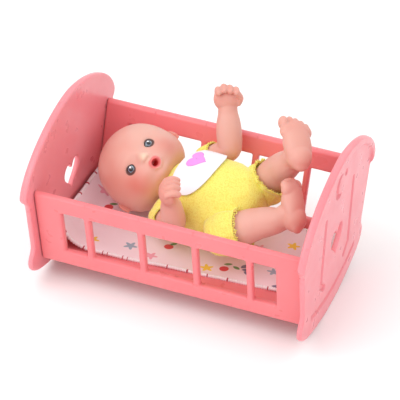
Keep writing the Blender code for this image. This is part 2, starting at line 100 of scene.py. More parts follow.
head_middle = joint_place("head_turn")
eye_boxes = [np.mean(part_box(f"eye_{side}"), axis=0) for side in ("left", "right")]
HEAD = square_axes(np.array(joints["head_turn"]["axis"]), sum(eye_boxes) / 2 - head_middle)
HEAD_HALF = 0.155
print("L", L, "rails from", round(GROUND, 4), "doll middle", np.round(doll_middle, 4))


def on_doll(points):
    """From the doll's own axes, in shares of L, to metres in the row frame."""
    return doll_middle + np.asarray(points, float) @ DOLL * L


def on_head(points):
    """From the head's own axes, in half head widths, to metres in the row frame."""
    return head_middle + np.asarray(points, float) @ HEAD * HEAD_HALF * L


# %% [markdown]
# The camera looks down at the cradle from the foot end's front corner through a long lens, so
# parallel rails stay nearly parallel. Its three axes come from two angles and a small roll.

# %% Camera
AZIMUTH, ELEVATION, ROLL = np.radians([19.128, 34.802, 2.876])
CAMERA_DISTANCE, LENS, SENSOR = 8.2352, 206.0, 36.0
back = np.array([math.sin(AZIMUTH) * math.cos(ELEVATION),
                 -math.cos(AZIMUTH) * math.cos(ELEVATION), math.sin(ELEVATION)])
level = np.array([math.cos(AZIMUTH), math.sin(AZIMUTH), 0.0])
upright = np.cross(back, level)
right = level * math.cos(ROLL) + upright * math.sin(ROLL)
above = upright * math.cos(ROLL) - level * math.sin(ROLL)
target = np.array([0.0005, 0.0, 0.2273]) * L + (0, 0, GROUND)


def placed(item, origin, axes):
    """Puts a camera or lamp at a place with its three axes given in the row frame."""
    matrix = np.eye(4)
    matrix[:3, :3] = np.transpose(axes)
    matrix[:3, 3] = origin
    item.matrix_world = Matrix(matrix.tolist())
    return item


camera = bpy.data.objects.new("camera", bpy.data.cameras.new("camera"))
bpy.context.collection.objects.link(camera)
camera.data.lens, camera.data.sensor_width = LENS, SENSOR
camera.data.clip_start, camera.data.clip_end = 0.05, 20.0
placed(camera, target + back * CAMERA_DISTANCE * L, (right, above, back))
bpy.context.scene.camera = camera
print("camera at", np.round(target + back * CAMERA_DISTANCE * L, 3))

# %% [markdown]
# Soft product lighting: a bright white surround, one large lamp over the camera's left
# shoulder and a weaker one from the right. A big lamp close to a small toy gives shadows with
# wide soft edges and broad, quiet highlights on the plastic.

# %% Floor and light
WHITE = (1.0, 1.0, 1.0)


def lamp(name, direction, distance, size, power):
    """A square area lamp that shines back along the direction it is seen in."""
    item = bpy.data.objects.new(name, bpy.data.lights.new(name, "AREA"))
    bpy.context.collection.objects.link(item)
    item.data.size, item.data.energy, item.data.color = size, power, WHITE
    toward = unit(direction)
    across = unit(np.cross((0, 0, 1), toward))
    placed(item, target + toward * distance, (across, np.cross(toward, across), toward))
    return item


lamp("key lamp", (-0.55, -0.75, 1.15), 0.9, 0.8, 4.2)
lamp("fill lamp", (1.0, -0.6, 0.7), 1.0, 0.9, 1.6)
lamp("back lamp", (0.2, 1.0, 0.8), 1.0, 0.8, 1.6)
world = bpy.data.worlds.new("studio")
bpy.context.scene.world = world
world.use_nodes = True
world.node_tree.nodes["Background"].inputs["Color"].default_value = (1, 1, 1, 1)
world.node_tree.nodes["Background"].inputs["Strength"].default_value = 0.80
bpy.context.scene.view_settings.view_transform = "Standard"

# %% [markdown]
# Every new piece is a grid of points worked out as whole arrays. `grid_faces` joins each point
# to its neighbours, and can wrap round either way. `piece` makes the object at the origin, so
# its place is in its mesh and patterns on Object coordinates stay put when a body moves.

# %% Mesh helpers
def grid_faces(rows, columns, wrap_rows=False, wrap_columns=False, first=0):
    """Quads of a grid; a wrapped side joins its last line of points to its first."""
    i, j = np.meshgrid(np.arange(rows - (not wrap_rows)),
                       np.arange(columns - (not wrap_columns)), indexing="ij")
    i2, j2 = (i + 1) % rows, (j + 1) % columns
    corners = (i * columns + j, i * columns + j2, i2 * columns + j2, i2 * columns + j)
    return np.stack(corners, axis=-1).reshape(-1, 4) + first


def joined(surfaces):
    """Several (points, faces) pairs as one."""
    counts = np.cumsum([0] + [len(points) for points, _ in surfaces])
    points = np.concatenate([points for points, _ in surfaces])
    faces = np.concatenate([faces + start for (_, faces), start in zip(surfaces, counts)])
    return points, faces


def piece(name, points, faces, weld=1e-6):
    """One object at the origin; doubled points are welded and faces turned outwards."""
    mesh = bpy.data.meshes.new(name)
    mesh.from_pydata(points.tolist(), [], faces.tolist())
    if weld:
        work = bmesh.new()
        work.from_mesh(mesh)
        bmesh.ops.remove_doubles(work, verts=work.verts, dist=weld)
        bmesh.ops.dissolve_degenerate(work, edges=work.edges, dist=weld)
        bmesh.ops.recalc_face_normals(work, faces=work.faces)
        work.to_mesh(mesh)
        work.free()
    mesh.shade_smooth()
    item = bpy.data.objects.new(name, mesh)
    bpy.context.collection.objects.link(item)
    return item


def settle(item):
    """Applies the piece's modifiers: its mesh becomes what they make of it."""
    graph = bpy.context.evaluated_depsgraph_get()
    made = bpy.data.meshes.new_from_object(item.evaluated_get(graph))
    item.modifiers.clear()
    item.data = made
    made.shade_smooth()
    return item


def places(item):
    """Every vertex of a piece as one array."""
    flat = np.empty(len(item.data.vertices) * 3)
    item.data.vertices.foreach_get("co", flat)
    return flat.reshape(-1, 3)


def put(item, points):
    item.data.vertices.foreach_set("co", np.asarray(points, float).ravel())
    item.data.update()


def paint(item, name, values):
    """A value for every vertex, which a material reads by its name."""
    layer = item.data.attributes.new(name, "FLOAT", "POINT")
    layer.data.foreach_set("value", np.asarray(values, np.float32))


def smoothstep(low, high, value):
    t = np.clip((value - low) / (high - low), 0, 1)
    return t * t * (3 - 2 * t)


def through(stations, count):
    """Catmull-Rom: a cubic between neighbours, with the slope of the chord round each."""
    rows = np.asarray(stations, float)
    rows = np.vstack([2 * rows[0] - rows[1], rows, 2 * rows[-1] - rows[-2]])
    t = np.linspace(0, len(stations) - 1, count)
    i = np.minimum(t.astype(int), len(stations) - 2)
    f = (t - i)[:, None]
    a, b, c, d = rows[i], rows[i + 1], rows[i + 2], rows[i + 3]
    return 0.5 * (2 * b + (c - a) * f + (2 * a - 5 * b + 4 * c - d) * f ** 2
                  + (3 * b - a - 3 * c + d) * f ** 3)


def tube(stations, hint, count=60, sides=40):
    """Rings along a smooth path; a station is x, y, z, radius towards the hint, radius across.

    A ring is middle + first * r1 * cos + second * r2 * sin, square to the path there."""
    path = through(stations, count)
    along = unit(np.gradient(path[:, :3], axis=0))
    hint = np.asarray(hint, float)
    first = unit(hint - along * (along @ hint)[:, None])
    second = np.cross(along, first)
    angle = np.linspace(0, 2 * math.pi, sides, endpoint=False)[None, :, None]
    radii = np.maximum(path[:, 3:5], 1e-4)
    rings = (path[:, None, :3] + first[:, None] * radii[:, None, :1] * np.cos(angle)
             + second[:, None] * radii[:, None, 1:] * np.sin(angle))
    closed = np.concatenate([np.repeat(path[:1, None, :3], sides, 1), rings,
                             np.repeat(path[-1:, None, :3], sides, 1)])
    return closed.reshape(-1, 3), grid_faces(count + 2, sides, wrap_columns=True)


def egg(middle, axes, radii, rows=20, sides=28):
    """An ellipsoid: middle + the three axes, each times its radius and a point of a sphere."""
    polar = np.linspace(0, math.pi, rows)[:, None]
    around = np.linspace(0, 2 * math.pi, sides, endpoint=False)[None, :]
    ball = np.stack([np.sin(polar) * np.cos(around), np.sin(polar) * np.sin(around),
                     np.cos(polar) + 0 * around], axis=-1)
    points = np.asarray(middle) + (ball * np.asarray(radii)) @ np.asarray(axes)
    return points.reshape(-1, 3), grid_faces(rows, sides, wrap_columns=True)


def fused(name, surfaces, voxel, rounds):
    """One skin round overlapping closed surfaces: a voxel remesh, then a light smoothing."""
    item = piece(name, *joined(surfaces))
    skin = item.modifiers.new("one skin", "REMESH")
    skin.mode, skin.voxel_size = "VOXEL", voxel
    soft = item.modifiers.new("smooth", "SMOOTH")
    soft.factor, soft.iterations = 0.5, rounds
    return settle(item)


# %% [markdown]
# A material here is a small tree of nodes on the Principled shader. `Finish` keeps the writing
# short: it adds a node with its settings, and links an output to an input. Plain numbers and
# colours go straight onto the shader's own sockets.

# %% Material helper
def tint(red, green, blue):
    """A colour from 0-255 screen values to the linear values that a shader mixes."""
    screen = np.array([red, green, blue]) / 255
    low, high = screen / 12.92, ((screen + 0.055) / 1.055) ** 2.4
    return (*np.where(screen <= 0.04045, low, high).tolist(), 1.0)


class Finish:
    """A material on the Principled shader, with short ways to add and link nodes."""

    def __init__(self, name, colour, roughness, **plain):
        self.material = bpy.data.materials.new(name)
        self.material.use_nodes = True
        self.tree = self.material.node_tree
        self.shader = self.tree.nodes["Principled BSDF"]
        values = {"Base Color": colour, "Roughness": roughness, **plain}
        for socket, value in values.items():
            self.shader.inputs[socket].default_value = value
        self.place = self.add("ShaderNodeTexCoord").outputs["Object"]

    def add(self, kind, settings=None, **inputs):
        node = self.tree.nodes.new(kind)
        for key, value in (settings or {}).items():
            setattr(node, key, value)
        for key, value in inputs.items():
            socket = node.inputs[key.replace("_", " ")]
            if isinstance(value, bpy.types.NodeSocket):
                self.tree.links.new(value, socket)
            else:
                socket.default_value = value
        return node

    def link(self, output, socket):
        self.tree.links.new(output, self.shader.inputs[socket])

    def noise(self, scale, detail=2.0, rough=0.5):
        node = self.add("ShaderNodeTexNoise", Scale=scale, Detail=detail, Roughness=rough,
                        Vector=self.place)
        return node.outputs["Fac"]

    def ranged(self, value, low, high, to_low=0.0, to_high=1.0):
        node = self.add("ShaderNodeMapRange", Value=value, From_Min=low, From_Max=high,
                        To_Min=to_low, To_Max=to_high)
        return node.outputs["Result"]

    def mix(self, factor, first, second):
        """A colour between two, by the factor."""
        node = self.tree.nodes.new("ShaderNodeMix")
        node.data_type = "RGBA"
        for index, value in ((0, factor), (6, first), (7, second)):
            socket = node.inputs[index]
            if isinstance(value, bpy.types.NodeSocket):
                self.tree.links.new(value, socket)
            else:
                socket.default_value = value
        return node.outputs[2]

    def math(self, operation, first, second=0.5):
        node = self.tree.nodes.new("ShaderNodeMath")
        node.operation = operation
        for socket, value in zip(node.inputs, (first, second)):
            if isinstance(value, bpy.types.NodeSocket):
                self.tree.links.new(value, socket)
            else:
                socket.default_value = value
        return node.outputs[0]

    def read(self, name):
        """A value that was painted on the piece's vertices."""
        node = self.add("ShaderNodeAttribute", {"attribute_name": name})
        return node.outputs["Fac"]

    def bump(self, height, strength, distance):
        node = self.add("ShaderNodeBump", Height=height, Strength=strength, Distance=distance)
        self.link(node.outputs["Normal"], "Normal")


def dress(item, finish):
    item.data.materials.clear()
    item.data.materials.append(finish.material)


# %% [markdown]
# The floor is a wide sheet of white studio paper that rises in a soft curve far behind. A
# faint grain keeps it from being a flat colour.

# %% Studio floor
paper = Finish("studio paper", tint(254, 254, 254), 0.9)
paper.bump(paper.noise(900.0), 0.05, 0.0002)
u, v = np.meshgrid(np.linspace(-3.0, 3.0, 9), np.linspace(-3.0, 3.0, 41), indexing="ij")
rise = 0.35 * np.clip(v - 1.6, 0, None) ** 2
studio = piece("studio_floor", np.stack([u, v, rise - 0.0002], axis=-1).reshape(-1, 3),
               grid_faces(9, 41), weld=0)
dress(studio, paper)
print("floor", len(studio.data.polygons), "faces")

# %% [markdown]
# The cradle is injection-moulded polypropylene: a satin pink with a faint cloudiness, soft
# where light enters it. Subsurface scattering gives the glow in the corners, a fine noise in
# the bump gives the moulded skin, and two close pinks keep the large faces from being flat.

# %% Plastic
def moulded_pink(name, light, deep):
    plastic = Finish(name, light, 0.32)
    plastic.shader.inputs["Subsurface Weight"].default_value = 0.18
    plastic.shader.inputs["Subsurface Radius"].default_value = (1.0, 0.35, 0.25)
    plastic.shader.inputs["Subsurface Scale"].default_value = 0.003
    plastic.shader.inputs["Specular IOR Level"].default_value = 0.4
    cloud = plastic.noise(38.0, 3.0)
    plastic.link(plastic.mix(cloud, light, deep), "Base Color")
    plastic.link(plastic.ranged(plastic.noise(120.0), 0.3, 0.7, 0.26, 0.38), "Roughness")
    plastic.bump(plastic.noise(2600.0, 3.0), 0.10, 0.0001)
    return plastic


panel_pink = moulded_pink("panel pink", tint(242, 150, 158), tint(236, 136, 144))
rail_pink = moulded_pink("rail pink", tint(242, 136, 140), tint(236, 124, 130))
dress(frame["nodes"]["tray_floor"], rail_pink)
print("plastic for", ["headboard", "footboard", "rails", "tray"])

# %% [markdown]
# A moulded plate has no sharp edge anywhere. Its two faces are one height over the middle
# plane, and that height falls to nothing at every rim along a quarter of a superellipse:
# height = (1 - (1 - d / r) ** n) ** (1 / n), with d the distance to the rim. The two faces
# then meet at the rim by themselves, and no bevel is needed.

# %% Rounded rims
EDGE_RADIUS, EDGE_POWER = 0.0095, 2.4


def rim_round(distance, radius=EDGE_RADIUS):
    """Height of a rounded face, from 0 at the rim to 1 a radius inside it."""
    inside = np.clip(distance / radius, 0, 1)
    return (1 - (1 - inside) ** EDGE_POWER) ** (1 / EDGE_POWER)


def rim_stations(count, edge_share=0.16):
    """Steps from 0 to 1 that crowd at both ends, where a face rounds off."""
    t = np.linspace(0, 1, count)
    crowd = (1 - np.cos(math.pi * t)) / 2
    return (1 - edge_share) * t + edge_share * crowd if count > 60 else crowd


# %% [markdown]
# An end panel is one plate from its heart-shaped hole out to its outline: a rocker below, a
# small flared foot, a leaning side and an arch on top with a raised rim that oversails the
# side. The outline is drawn as arcs, made even along its length and then averaged along
# itself, which rounds every corner. Lines from the heart's middle join hole and outline.

# %% The end panel's outline
RAIL_HALF_TOP, RAIL_HEIGHT, RAIL_LEAN, RAIL_WALL = 0.35, 0.336, 0.24, 0.030
ARCH_HALF, ARCH_RISE, ARCH_BASE, ARCH_POWER, ARCH_RIM = 0.412, 0.229, 0.329, 1.7, 0.030
ROCKER_RADIUS, ROCKER_LOW, ROCKER_FLAT = 0.908, -0.089, 0.075
FOOT_Y, FOOT_Z, FOOT_RADIUS = 0.311, 0.022, 0.045
PANEL_WALL, PANEL_MARGIN, RIM_EXTRA = 0.0195, 0.045, 0.0085
HEART_MIDDLE, HEART_SIZE = 0.203, 0.062


def rail_outer(z):
    """Half the width over the rails at a height: they lean out towards the top."""
    return RAIL_HALF_TOP - RAIL_LEAN * (RAIL_HEIGHT - z)


def arc(y, z, ry, rz, start, end, count=24):
    """Points round an ellipse from one angle to another, in degrees."""
    angle = np.radians(np.linspace(start, end, count))
    return np.stack([y + ry * np.cos(angle), z + rz * np.sin(angle)], axis=-1)


def even_loop(points, count):
    """The same closed line with its points at equal steps along it."""
    loop = np.vstack([points, points[:1]])
    length = np.concatenate([[0], np.cumsum(np.linalg.norm(np.diff(loop, axis=0), axis=1))])
    steps = np.linspace(0, length[-1], count, endpoint=False)
    return np.stack([np.interp(steps, length, loop[:, k]) for k in (0, 1)], axis=-1)


def averaged(loop, reach):
    """Each point becomes the bell-weighted mean of its neighbours along the closed line."""
    offset = np.arange(-3 * reach, 3 * reach + 1)
    weight = np.exp(-0.5 * (offset / reach) ** 2)
    shifted = np.stack([np.roll(loop, -k, axis=0) for k in offset])
    return np.tensordot(weight / weight.sum(), shifted, axes=1)


def panel_outline(count):
    flat_angle = math.degrees(math.asin(ROCKER_FLAT / ROCKER_RADIUS))
    rocker = arc(0, ROCKER_LOW + ROCKER_RADIUS, ROCKER_RADIUS, ROCKER_RADIUS,
                 -90 + flat_angle, -71)
    rocker[0, 1] = ROCKER_LOW
    foot = arc(FOOT_Y, FOOT_Z, FOOT_RADIUS, FOOT_RADIUS, -62, 25)
    side_z = np.array([0.075, 0.300])
    side = np.stack([rail_outer(side_z) + PANEL_MARGIN - 0.004, side_z], axis=-1)
    angle = np.radians(np.linspace(0, 90, 60))
    arch = np.stack([ARCH_HALF * np.cos(angle) ** (2 / ARCH_POWER),
                     ARCH_BASE + ARCH_RISE * np.sin(angle) ** (2 / ARCH_POWER)], axis=-1)
    half = np.concatenate([rocker, foot, side, arch])
    loop = np.concatenate([half, half[::-1] * (-1, 1)])
    return averaged(even_loop(loop, count), 3)


def heart_radius(angle):
    """The heart curve (y = sin cubed, z from four cosines) as a distance for each direction."""
    t = np.linspace(0, 2 * math.pi, 721)[:-1]
    y = np.sin(t) ** 3
    z = (13 * np.cos(t) - 5 * np.cos(2 * t) - 2 * np.cos(3 * t) - np.cos(4 * t)) / 16 + 0.1
    order = np.argsort(np.arctan2(z, y))
    return HEART_SIZE * np.interp(angle, np.arctan2(z, y)[order], np.hypot(y, z)[order],
                                  period=2 * math.pi)


# %% [markdown]
# The outer face carries sunk decoration: two posts with bent feet, a bow over the rocker,
# a crescent and a dot. Each is a distance from a line or a circle, and the face sinks by a
# smooth step of that distance.

# %% Grooves as distances
GROOVE_DEPTH, GROOVE_HALF = 0.0085, 0.0115


def line_distance(y, z, line):
    """Distance from each point to a run of straight pieces."""
    best = np.full(y.shape, 9.0)
    for (y0, z0), (y1, z1) in zip(line[:-1], line[1:]):
        run_y, run_z = y1 - y0, z1 - z0
        share = np.clip(((y - y0) * run_y + (z - z0) * run_z) / (run_y ** 2 + run_z ** 2), 0, 1)
        best = np.minimum(best, np.hypot(y - y0 - share * run_y, z - z0 - share * run_z))
    return best


def groove_distance(y, z):
    """How far each point of the face is inside (below zero) or outside the nearest groove."""
    post_top = 0.375
    post = [(0.155, post_top), (0.155, 0.10), (0.112, 0.068)]
    inside = line_distance(np.abs(y), z, post) - GROOVE_HALF
    middle = ROCKER_LOW + ROCKER_RADIUS
    bow = np.abs(np.hypot(y, z - middle) - (ROCKER_RADIUS - 0.078)) - GROOVE_HALF * 0.9
    inside = np.minimum(inside, np.maximum(bow, np.abs(y) - 0.245))
    moon = np.maximum(np.hypot(y + 0.015, z - 0.440) - 0.046,
                      0.040 - np.hypot(y - 0.010, z - 0.440))
    dot = np.hypot(y - 0.052, z - 0.462) - 0.013
    return np.minimum(inside, np.minimum(moon, dot))


# %% [markdown]
# Both panels are the same moulding, turned about. Across the plate the grid runs from the
# heart's rim to the outline and back on the other face.

# %% End panels
def end_panel(name, node, side):
    """x = middle plane, plus half the wall times the rounded height, less the groove."""
    outline = panel_outline(520)
    rays = outline - (0, HEART_MIDDLE)
    reach, angle = np.hypot(*rays.T), np.arctan2(rays[:, 1], rays[:, 0])
    normal = unit(np.roll(outline, -1, axis=0) - np.roll(outline, 1, axis=0))
    square = np.abs(normal[:, 1] * np.cos(angle) - normal[:, 0] * np.sin(angle))
    hole = heart_radius(angle)
    faces_x, faces_y, faces_z = [], [], []
    for outside, count in ((1, 118), (-1, 30)):
        step = rim_stations(count)[:, None]
        r = hole + (reach - hole) * step
        y, z = r * np.cos(angle), HEART_MIDDLE + r * np.sin(angle)
        to_outline, to_hole = (reach - r) * square, r - hole
        height = rim_round(np.minimum(to_outline, to_hole))
        wall = PANEL_WALL / 2 * outside * height
        groove = np.zeros(r.shape)
        if outside > 0:
            arch = smoothstep(ARCH_BASE - 0.022, ARCH_BASE - 0.012, z)
            band = 1 - smoothstep(ARCH_RIM - 0.004, ARCH_RIM + 0.003, to_outline)
            wall = wall + RIM_EXTRA * arch * band * height
            groove = 1 - smoothstep(-0.003, 0.003, groove_distance(y, z))
            wall = wall - GROOVE_DEPTH * groove * height
        order = slice(None) if outside > 0 else slice(None, None, -1)
        faces_x.append((0.5 + PANEL_WALL / 2 + wall)[order])
        faces_y.append(y[order])
        faces_z.append(z[order])
    x, y, z = (np.concatenate(part) for part in (faces_x, faces_y, faces_z))
    points = np.stack([side * x * L, y * L, z * L + GROUND], axis=-1)
    item = piece(name, points.reshape(-1, 3), grid_faces(*x.shape, True, True), weld=2e-6)
    dress(item, panel_pink)
    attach(item, "cradle")
    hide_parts(node)
    return item


end_panels = [end_panel("headboard_moulding", "headboard", -1),
              end_panel("footboard_moulding", "footboard", 1)]
print("end panels", [len(item.data.polygons) for item in end_panels])

# %% [markdown]
# A side rail is a leaning plate with five windows. It is cut in its slats' middles into five
# fields. Each field's grid runs from the window's rounded outline out to the field's own
# rectangle, and neighbouring fields share the points on their common side.

# %% Rail fields
SLAT_PITCH, SLAT_WIDTH, WINDOW_END = 0.202, 0.025, 0.400
WINDOW_LOW, WINDOW_HIGH = 0.070, 0.263
RAIL_END = 0.4975
slats = SLAT_PITCH * (np.arange(4) - 1.5)
field_edges = np.concatenate([[-RAIL_END], slats, [RAIL_END]])


def rounded_window(left, right, corners, per_side):
    """A rectangle whose corners are quarter circles, as four runs of equal point count."""
    runs = []
    spots = ((left, WINDOW_LOW, 1, 1, 225), (right, WINDOW_LOW, -1, 1, 315),
             (right, WINDOW_HIGH, -1, -1, 45), (left, WINDOW_HIGH, 1, -1, 135))
    for k in range(4):
        ends = []
        for (x, z, sx, sz, start), turn, r in ((spots[k], (0, 45), corners[k]),
                                               (spots[(k + 1) % 4], (-45, 0), corners[(k + 1) % 4])):
            ends.append(arc(x + sx * r, z + sz * r, r, r, start + turn[0], start + turn[1], 6))
        line = np.concatenate(ends)
        length = np.concatenate([[0], np.cumsum(np.linalg.norm(np.diff(line, axis=0), axis=1))])
        even = np.linspace(0, length[-1], per_side, endpoint=False)
        runs.append(np.stack([np.interp(even, length, line[:, i]) for i in (0, 1)], axis=-1))
    return np.concatenate(runs)


def field_border(left, right, per_side):
    """The field's rectangle, with the same number of points on each side."""
    t = np.linspace(0, 1, per_side, endpoint=False)
    low, high = np.zeros(per_side), np.full(per_side, RAIL_HEIGHT)
    return np.concatenate([np.stack([left + (right - left) * t, low], -1),
                           np.stack([np.full(per_side, right), RAIL_HEIGHT * t], -1),
                           np.stack([right - (right - left) * t, high], -1),
                           np.stack([np.full(per_side, left), RAIL_HEIGHT * (1 - t)], -1)])


# %% Side rails
def window_distance(x, z, left, right, radius):
    """Distance outside a rounded rectangle."""
    over_x = np.abs(x - (left + right) / 2) - (right - left) / 2 + radius
    over_z = np.abs(z - (WINDOW_LOW + WINDOW_HIGH) / 2) - (WINDOW_HIGH - WINDOW_LOW) / 2 + radius
    return (np.hypot(np.clip(over_x, 0, None), np.clip(over_z, 0, None))
            + np.minimum(np.maximum(over_x, over_z), 0) - radius)


def side_rail(name, node, side):
    """y = the leaning middle plane, plus or minus half the wall times the rounded height."""
    per_side, surfaces = 40, []
    for left, right in zip(field_edges[:-1], field_edges[1:]):
        open_left = max(left + SLAT_WIDTH / 2, -WINDOW_END)
        open_right = min(right - SLAT_WIDTH / 2, WINDOW_END)
        big_left, big_right = open_left <= -WINDOW_END, open_right >= WINDOW_END
        corners = [0.020 if big else 0.005 for big in (big_left, big_right, big_right, big_left)]
        window = rounded_window(open_left, open_right, corners, per_side)
        border = field_border(left, right, per_side)
        step = rim_stations(22)[:, None, None]
        field = window + (border - window) * step
        x, z = field[..., 0], field[..., 1]
        outer = np.minimum(np.minimum(z, RAIL_HEIGHT - z), RAIL_END - np.abs(x) + 0.002)
        near = window_distance(x, z, open_left, open_right, 0.005)
        height = rim_round(np.minimum(outer, near))
        height[0] = 0
        for face in (1, -1):
            y = rail_outer(z) - RAIL_WALL / 2 + face * RAIL_WALL / 2 * height
            points = np.stack([x * L, side * y * L, z * L + GROUND], axis=-1)
            surfaces.append((points.reshape(-1, 3), grid_faces(*x.shape, False, True)))
    item = piece(name, *joined(surfaces), weld=2e-5)
    dress(item, rail_pink)
    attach(item, "cradle")
    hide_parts(node)
    return item


rails = [side_rail("front_rail_moulding", "side_rail_front", -1),
         side_rail("back_rail_moulding", "side_rail_back", 1)]
print("rails", [len(item.data.polygons) for item in rails])

# %% [markdown]
# The quilt is one thin printed cloth with an overlocked edge. It lies on the tray, turns up
# against the headboard and lifts a little at two corners. The print is worked out on the
# points of a fine grid: every motif is a distance, below zero inside it, and the material
# turns that distance into a crisp edge.

# %% The quilt's lie
QUILT_HALF, QUILT_START, QUILT_END = 0.2335, -0.484, 0.474
QUILT_REST = 0.0375


def quilt_height(x, y):
    """Tray level + a turn-up at the head + two lifted corners + slow creases."""
    head = 0.060 * smoothstep(-0.40, -0.50, x)
    front_corner = 0.050 * smoothstep(-0.33, -0.49, x) * smoothstep(-0.12, -0.235, y)
    back_corner = 0.105 * smoothstep(0.40, 0.475, x) * smoothstep(0.05, 0.20, y)
    waves = 0.0022 * np.sin(23 * x + 4 * y) * np.cos(17 * y - 5 * x) + 0.0012 * np.sin(41 * y + 9 * x)
    return QUILT_REST + head + front_corner + back_corner + waves + 0.0022


def laid_y(x, v):
    """Where the cloth's own line v lies: its front edge runs back a little towards the foot."""
    front = -0.210 + 0.055 * smoothstep(-0.5, 0.5, x)
    return QUILT_HALF - (QUILT_HALF - v) * (QUILT_HALF - front) / (2 * QUILT_HALF)


# %% The quilt's print
def star(x, y, spot, size, turn):
    """A five-point star: the rim's distance from the middle swings five times round."""
    dx, dy = x - spot[0], y - spot[1]
    swing = 0.5 + 0.5 * np.cos(5 * (np.arctan2(dy, dx) - turn))
    return np.hypot(dx, dy) - size * (0.48 + 0.52 * swing ** 1.3)


def disc(x, y, spot, size):
    return np.hypot(x - spot[0], y - spot[1]) - size


def leaf(x, y, spot, length, turn):
    """A pointed oval: where two equal circles overlap."""
    dx, dy = x - spot[0], y - spot[1]
    u = dx * math.cos(turn) + dy * math.sin(turn)
    v = -dx * math.sin(turn) + dy * math.cos(turn)
    return np.hypot(u, np.abs(v) + length * 0.75) - length * 1.25


STARS = {"yellow_print": [(-0.355, -0.165), (0.085, -0.185), (-0.05, 0.02), (-0.30, 0.15),
                          (0.33, 0.09), (0.20, 0.19)],
         "grey_print": [(-0.215, -0.150), (0.315, -0.115), (-0.42, -0.02), (0.05, 0.18),
                        (0.40, 0.18), (-0.14, 0.14)],
         "pink_print": [(-0.125, -0.185), (-0.43, 0.14), (0.22, 0.03), (0.43, -0.02)]}
FRUIT = [(-0.085, -0.105), (0.145, -0.170), (0.385, -0.205), (-0.38, 0.06), (0.12, 0.10)]
LEAVES = [(0.150, -0.135, 0.4), (0.185, -0.150, -0.5), (-0.075, -0.080, 0.9),
          (-0.37, 0.085, 0.3), (0.13, 0.125, 1.4), (0.375, -0.180, 0.8)]
SPRIGS = [(0.225, -0.150, 0.3), (0.235, -0.172, -0.4), (0.21, -0.128, 1.1), (0.355, -0.215, 0.1),
          (-0.41, 0.035, 0.2)]

rows, columns = 420, 210
x, y = np.meshgrid(np.linspace(QUILT_START, QUILT_END, rows),
                   np.linspace(-QUILT_HALF, QUILT_HALF, columns), indexing="ij")
quilt_points = np.stack([x, laid_y(x, y), quilt_height(x, y)], axis=-1) * L + (0, 0, GROUND)
quilt = piece("quilt_cloth", quilt_points.reshape(-1, 3), grid_faces(rows, columns), weld=0)
for name, spots in STARS.items():
    layers = [star(x, y, spot, 0.026, 0.7 * k) for k, spot in enumerate(spots)]
    paint(quilt, name, np.minimum.reduce(layers).ravel())
paint(quilt, "red_print", np.minimum.reduce([disc(x, y, spot, 0.017) for spot in FRUIT]).ravel())
paint(quilt, "green_print", np.minimum.reduce([leaf(x, y, spot[:2], 0.016, spot[2])
                                               for spot in LEAVES]).ravel())
paint(quilt, "plum_print", np.minimum.reduce([leaf(x, y, spot[:2], 0.020, spot[2])
                                              for spot in SPRIGS]).ravel())
print("quilt", len(quilt.data.polygons), "faces, rise",
      round(float(np.ptp(quilt_height(x, y)) * L * 1000), 1), "mm")

# %% The quilt's cloth
cotton = Finish("printed cotton", tint(250, 226, 232), 0.85)
cotton.shader.inputs["Sheen Weight"].default_value = 0.3
shade = cotton.mix(cotton.noise(30.0), tint(252, 232, 238), tint(246, 214, 224))
PRINTS = {"yellow_print": tint(247, 205, 60), "grey_print": tint(158, 172, 190),
          "pink_print": tint(240, 160, 178), "red_print": tint(222, 60, 66),
          "green_print": tint(110, 150, 90), "plum_print": tint(120, 108, 138)}
for name, colour in PRINTS.items():
    shade = cotton.mix(cotton.ranged(cotton.read(name), 0.0012, -0.0012), shade, colour)
cotton.link(shade, "Base Color")
warp = cotton.add("ShaderNodeTexWave", {"bands_direction": "X"}, Scale=900.0,
                  Distortion=0.6, Vector=cotton.place).outputs["Fac"]
weft = cotton.add("ShaderNodeTexWave", {"bands_direction": "Y"}, Scale=900.0,
                  Distortion=0.6, Vector=cotton.place).outputs["Fac"]
cotton.bump(cotton.math("ADD", warp, weft), 0.35, 0.00012)
dress(quilt, cotton)
wall = quilt.modifiers.new("cloth", "SOLIDIFY")
wall.thickness, wall.offset = 0.0006, 0.0
settle(quilt)
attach(quilt, "cradle")
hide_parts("quilt")

# %% [markdown]
# An overlock seam wraps the quilt's edge: a thick white thread in tight loops with a thin dark
# red one among them. It is a fine tube along the edge whose radius swells with each loop, and
# the red shows as small specks.

# %% Overlocked edge
def edge_path(count):
    """The quilt's outline with rounded corners, lifted to the quilt's own height."""
    corner = 0.012
    low_x, high_x, half = QUILT_START + 0.001, QUILT_END - 0.001, QUILT_HALF - 0.001
    turns = ((high_x - corner, half - corner, 0), (low_x + corner, half - corner, 90),
             (low_x + corner, corner - half, 180), (high_x - corner, corner - half, 270))
    loop = np.concatenate([arc(*middle, corner, corner, start, start + 90, 8)
                           for *middle, start in turns])
    loop = even_loop(loop, count)
    return np.column_stack([loop[:, 0], laid_y(*loop.T), quilt_height(*loop.T)])


def rope(path, radius, loops, swell, sides=8):
    """A closed tube; its radius is radius * (1 + swell * |sin|) with many loops round."""
    along = unit(np.roll(path, -1, axis=0) - np.roll(path, 1, axis=0))
    first = unit(np.cross(along, (0.0, 0.0, 1.0)))
    second = np.cross(first, along)
    turn = np.linspace(0, 2 * math.pi * loops, len(path), endpoint=False)
    angle = np.linspace(0, 2 * math.pi, sides, endpoint=False)[None, :, None]
    size = (radius * (1 + swell * np.abs(np.sin(turn / 2))))[:, None, None]
    points = path[:, None] + size * (first[:, None] * np.cos(angle) + second[:, None] * np.sin(angle))
    return points.reshape(-1, 3), grid_faces(len(path), sides, True, True)


